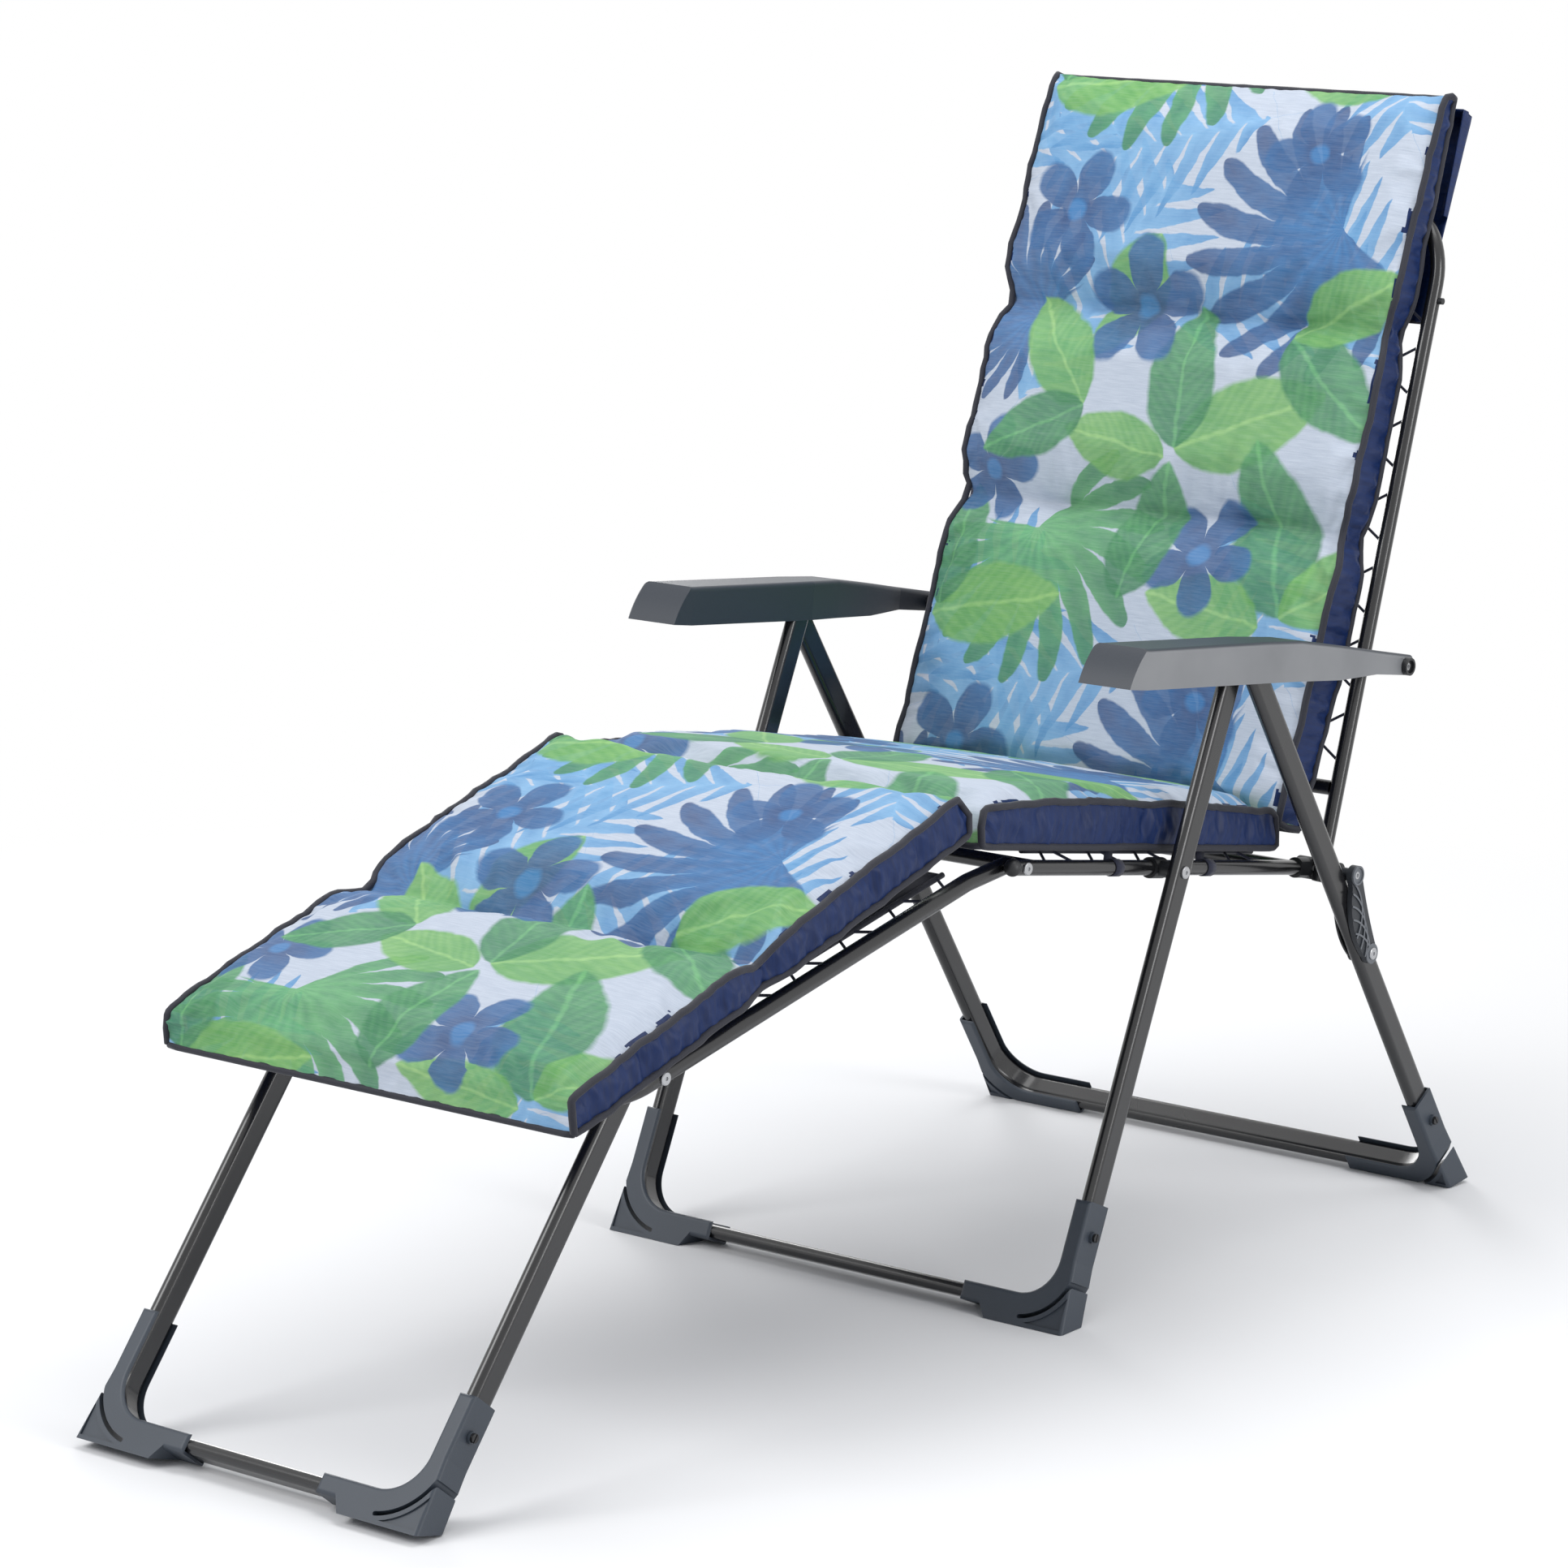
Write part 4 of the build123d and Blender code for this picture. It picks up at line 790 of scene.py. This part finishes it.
foot_cushion = Cushion(
    "footrest_pad", foot_panel, start=-0.690, end=-0.076, half=CUSHION_HALF,
    base=line_through([(-0.690, 0.012), (-0.62, 0.0168), (-0.076, 0.064)]),
    top=line_through([(-0.690, 0.054), (-0.418, 0.078), (-0.085, 0.112), (-0.076, 0.110)]),
    seams=[-0.402], tacks=[(-0.1, 0.006), (0.12, 0.008)], print_start=-0.02,
)


def build_cushions():
    seat_cushion.build("seat",
                       ["seat_cushion"])
    back_cushion.build("backrest",
                       ["back_cushion", "back_cushion_foot"])
    foot_cushion.build("footrest",
                       ["footrest_cushion"])


# Hood behind the head end


HOOD_LOW, HOOD_SIDE_LOW, HOOD_TOP, HOOD_HALF = 0.600, 0.714, 0.834, 0.2575
HOOD_FRONT, HOOD_DEPTH_LOW, HOOD_DEPTH_TOP = -0.0096, 0.014, 0.033
HOOD_ROUND, HOOD_THICK = 0.006, 0.0016
HOOD_HEM, HOOD_HEM_LEVEL = 0.0021, -0.0146
HOOD_ROWS, HOOD_COLUMNS, HOOD_SIDE_STEPS = 26, 40, 6


def hood_ring(s):
    """Open loop of (x, n) down one short side, across the back and up the other side."""
    rise = (s - HOOD_LOW) / (HOOD_TOP - HOOD_LOW)
    depth = -(HOOD_DEPTH_LOW + (HOOD_DEPTH_TOP - HOOD_DEPTH_LOW) * rise)
    flank = [HOOD_FRONT + (depth + HOOD_ROUND - HOOD_FRONT) * k / HOOD_SIDE_STEPS
             for k in range(HOOD_SIDE_STEPS + 1)]
    ring = [(-HOOD_HALF, n) for n in flank]
    for k in range(1, HOOD_COLUMNS):
        t = k / HOOD_COLUMNS
        edge = min(t, 1 - t) * 2 * HOOD_HALF
        round_in = HOOD_ROUND * max(0.0, 1 - edge / (2 * HOOD_ROUND)) ** 2
        ring.append((-HOOD_HALF + 2 * HOOD_HALF * t, depth + round_in))
    return ring + [(HOOD_HALF, n) for n in reversed(flank)]


def hood_mesh():
    """Points, faces and flat cloth places of the back, the top and the two short sides."""
    points, faces, cloth = [], [], []
    for r in range(HOOD_ROWS + 1):
        s = HOOD_LOW + (HOOD_TOP - HOOD_LOW) * r / HOOD_ROWS
        close = max(0.0, (s - (HOOD_TOP - 0.02)) / 0.02)
        ring = hood_ring(s)
        for x, n in ring:
            wave = 0.0011 * ripple(x, s, 0.5, 34.0) * (1 if abs(x) < HOOD_HALF - 0.01 else 0.6)
            points.append((x, s - 0.004 * close * (n < -0.02), n + wave))
            cloth.append((x + n, s, n))
    width = len(ring)
    for r in range(HOOD_ROWS):
        s = HOOD_LOW + (HOOD_TOP - HOOD_LOW) * (r + 0.5) / HOOD_ROWS
        for k in range(width - 1):
            on_side = k < HOOD_SIDE_STEPS or k >= width - HOOD_SIDE_STEPS - 1
            if on_side and s < HOOD_SIDE_LOW:
                continue
            a = r * width + k
            faces.append((a, a + width, a + width + 1, a + 1))
    # The top is closed from the back's upper edge to the cushion
    last, top_row = HOOD_ROWS * width, len(points)
    for k in range(width):
        x = points[last + k][0]
        points.append((x, HOOD_TOP - 0.001, HOOD_FRONT))
        cloth.append((x, HOOD_TOP + 0.02, 0.0))
    for k in range(HOOD_SIDE_STEPS, width - HOOD_SIDE_STEPS - 1):
        faces.append((last + k, top_row + k, top_row + k + 1, last + k + 1))
    return points, faces, cloth


def build_hood():
    """Cloth pocket over the top of the backrest, with its lower hem."""
    points, faces, cloth = hood_mesh()
    hood = new_object("hood", points, faces, satin)
    write_cloth(hood, cloth)
    modifier = hood.modifiers.new("thick", "SOLIDIFY")
    modifier.thickness = HOOD_THICK
    modifier.offset = 1.0
    apply_modifiers(hood)
    hood.data.transform(back_panel.matrix())
    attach(hood, "backrest")
    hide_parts("cushion_hood")
    steps = 30
    hem_line = [(-HOOD_HALF + 2 * HOOD_HALF * k / steps, HOOD_LOW,
                 HOOD_HEM_LEVEL + 0.0006 * ripple(k * 0.4, 0, 0, 2.0)) for k in range(steps + 1)]
    hem = tube("hood_hem", hem_line, HOOD_HEM, piping)
    hem.data.transform(back_panel.matrix())
    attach(hem, "backrest")


# Tapes that tie the seat cushion to the rails

TAPE_WIDE, TAPE_THICK, RAIL_RADIUS = 0.014, 0.0012, 0.008
TAPE_PLACES = (-0.074, 0.093)


def build_ties():
    """One tape on each side, front and rear: down from the pad, once round the rail and back."""
    around = coords(nodes["cushion_ties"].data)
    rail_x = np.abs(around[:, 0]).max() - RAIL_RADIUS - TAPE_THICK
    middle = RAIL_RADIUS + TAPE_THICK * 0.5
    turn = [math.radians(a) + math.pi for a in range(0, 361, 15)]
    path = [(-middle, 0.0168), (-middle, 0.008)]
    path += [(middle * math.cos(a), middle * math.sin(a)) for a in turn]
    points, faces = [], []
    for along in TAPE_PLACES:
        for side in (1, -1):
            first = len(points)
            for x, n in path:
                for edge in (-0.5, 0.5):
                    points.append((side * (rail_x + x), along + edge * TAPE_WIDE, n))
            faces += [(first + 2 * k, first + 2 * k + 1, first + 2 * k + 3, first + 2 * k + 2)
                      for k in range(len(path) - 1)]
    tapes = new_object("cushion_tapes", points, faces, elastic_cloth)
    modifier = tapes.modifiers.new("thick", "SOLIDIFY")
    modifier.thickness = TAPE_THICK * 0.8
    modifier.offset = 0.0
    apply_modifiers(tapes)
    tapes.data.transform(seat_panel.matrix())
    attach(tapes, "seat")
    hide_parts("cushion_ties")


# Slings


SLING_THICK, SLING_HEM, SLING_COLUMNS, SLING_ROWS = 0.0014, 0.003, 46, 48


def build_sling(label, panel, half, start, end, level, body, node):
    """Mesh cloth stretched between its laced hems, with rolled hems on both sides."""
    cols, rows = SLING_COLUMNS, SLING_ROWS
    points, cloth = [], []
    for r in range(rows + 1):
        s = start + (end - start) * r / rows
        for c in range(cols + 1):
            x = -half + 2 * half * c / cols
            edge = abs(c / cols - 0.5) * 2
            pull = 0.0012 * ripple(x, s, 0.3, 10.0) * (1 - edge)
            points.append((x, s, level + pull))
            cloth.append((x, s, 0.0))
    faces = []
    for r in range(rows):
        for c in range(cols):
            a = r * (cols + 1) + c
            faces.append((a, a + 1, a + cols + 2, a + cols + 1))
    cloth_piece = new_object(f"{label}_mesh", points, faces, mesh_cloth)
    write_cloth(cloth_piece, cloth)
    modifier = cloth_piece.modifiers.new("thick", "SOLIDIFY")
    modifier.thickness = SLING_THICK
    modifier.offset = 0.0
    apply_modifiers(cloth_piece)
    hems = []
    for side, word in ((1, "left"), (-1, "right")):
        path = [(side * half, start + (end - start) * k / 24, level) for k in range(25)]
        hem = tube(f"{label}_hem_{word}", path, SLING_HEM, mesh_cloth, sides=12)
        write_cloth(hem, coords(hem.data))
        hems.append(hem)
    for piece in [cloth_piece] + hems:
        piece.data.transform(panel.matrix())
        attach(piece, body)
    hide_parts(node)


def build_slings():
    build_sling("seat_sling", seat_panel, 0.227, -0.199, 0.218, 0.0135, "seat", "seat_sling")
    build_sling("back_sling", back_panel, 0.244, 0.104, 0.6873, 0.0065, "backrest", "backrest_sling")
    build_sling("footrest_sling", foot_panel, 0.207, -0.500, -0.064, 0.011, "footrest", "footrest_sling")


# Stage


FLOOR_HALF, FLOOR_DROP = 60.0, 0.0004
FLOOR_KEEPS, FLOOR_FADES = 0.9, 1.5
WORLD_TINT, WORLD_STRENGTH = (0.93, 0.96, 1.0, 1), 0.5
CHAIR_HEART_Y = 0.1
# name, place, height looked at, width, height of the lamp, power
LAMPS = [
    ("key", (-1.6, -3.4, 3.4), 0.5, 2.4, 2.4, 105),
    ("side", (3.6, 0.4, 1.7), 0.6, 1.0, 2.6, 52),
    ("top", (0.2, 0.6, 3.8), 0.4, 3.2, 2.2, 62),
    ("back_strip", (-2.6, 2.2, 1.6), 0.5, 0.7, 2.4, 34),
]


def floor_paper():
    """Pale paper that keeps the shadow near the chair and goes to plain white further out."""
    g = Graph("floor_paper")
    x, y, _ = g.split(g.object_place())
    far = g.math("SQRT", g.add(g.mul(x, x), g.mul(y, y)))
    away = g.over(g.sub(far, FLOOR_KEEPS), FLOOR_FADES)
    g.finish((0.86, 0.86, 0.87, 1), 0.9, specular=0.2)
    white = g.tree.nodes.new("ShaderNodeEmission")
    mix = g.tree.nodes.new("ShaderNodeMixShader")
    out = g.tree.nodes["Material Output"]
    g.link(away, mix.inputs[0])
    g.tree.links.new(g.bsdf.outputs[0], mix.inputs[1])
    g.tree.links.new(white.outputs[0], mix.inputs[2])
    g.tree.links.new(mix.outputs[0], out.inputs[0])
    return g.material


def build_world(scene):
    """Soft light all round, and plain white where the camera looks past the floor."""
    world = bpy.data.worlds.new("studio")
    scene.world = world
    world.use_nodes = True
    tree = world.node_tree
    tree.nodes.clear()
    out = tree.nodes.new("ShaderNodeOutputWorld")
    mix = tree.nodes.new("ShaderNodeMixShader")
    ray = tree.nodes.new("ShaderNodeLightPath")
    seen = tree.nodes.new("ShaderNodeBackground")
    light = tree.nodes.new("ShaderNodeBackground")
    seen.inputs[0].default_value = (1, 1, 1, 1)
    seen.inputs[1].default_value = 1.0
    light.inputs[0].default_value = WORLD_TINT
    light.inputs[1].default_value = WORLD_STRENGTH
    either = tree.nodes.new("ShaderNodeMath")
    both = tree.nodes.new("ShaderNodeMath")
    for node, first, second in ((either, ray.outputs["Is Camera Ray"], ray.outputs["Is Glossy Ray"]),
                                (both, either.outputs[0], ray.outputs["Is Transmission Ray"])):
        node.operation = "ADD"
        node.use_clamp = True
        tree.links.new(first, node.inputs[0])
        tree.links.new(second, node.inputs[1])
    tree.links.new(both.outputs[0], mix.inputs[0])
    tree.links.new(light.outputs[0], mix.inputs[1])
    tree.links.new(seen.outputs[0], mix.inputs[2])
    tree.links.new(mix.outputs[0], out.inputs[0])


def build_lamp(scene, name, place, look_z, width, height, power):
    data = bpy.data.lights.new(name, "AREA")
    data.shape = "RECTANGLE"
    data.size, data.size_y = width, height
    data.energy = power
    obj = bpy.data.objects.new(name, data)
    scene.collection.objects.link(obj)
    obj.location = place
    aim = Vector((0, CHAIR_HEART_Y, look_z)) - Vector(place)
    obj.rotation_euler = aim.to_track_quat("-Z", "Y").to_euler()


def build_stage():
    scene = bpy.context.scene
    scene.view_settings.view_transform = "Standard"
    build_world(scene)
    far = FLOOR_HALF
    floor = new_object("floor", [(-far, -far, 0), (far, -far, 0), (far, far, 0), (-far, far, 0)],
                       [(0, 1, 2, 3)], floor_paper(), smooth=False)
    floor.location.z = -FLOOR_DROP
    for lamp in LAMPS:
        build_lamp(scene, *lamp)


CAMERA_PLACE = (3.3158, -4.1317, 1.6286)
CAMERA_TILT, CAMERA_TURN = 78.32, 39.0
CAMERA_LENS, CAMERA_SENSOR = 122.32, 36.0


def build_camera():
    data = bpy.data.cameras.new("camera")
    data.sensor_width = CAMERA_SENSOR
    data.lens = CAMERA_LENS
    obj = bpy.data.objects.new("camera", data)
    bpy.context.scene.collection.objects.link(obj)
    obj.location = CAMERA_PLACE
    obj.rotation_euler = (math.radians(CAMERA_TILT), 0.0, math.radians(CAMERA_TURN))
    bpy.context.scene.camera = obj


dress_nodes()
build_cushions()
build_hood()
build_ties()
build_slings()
build_stage()
build_camera()
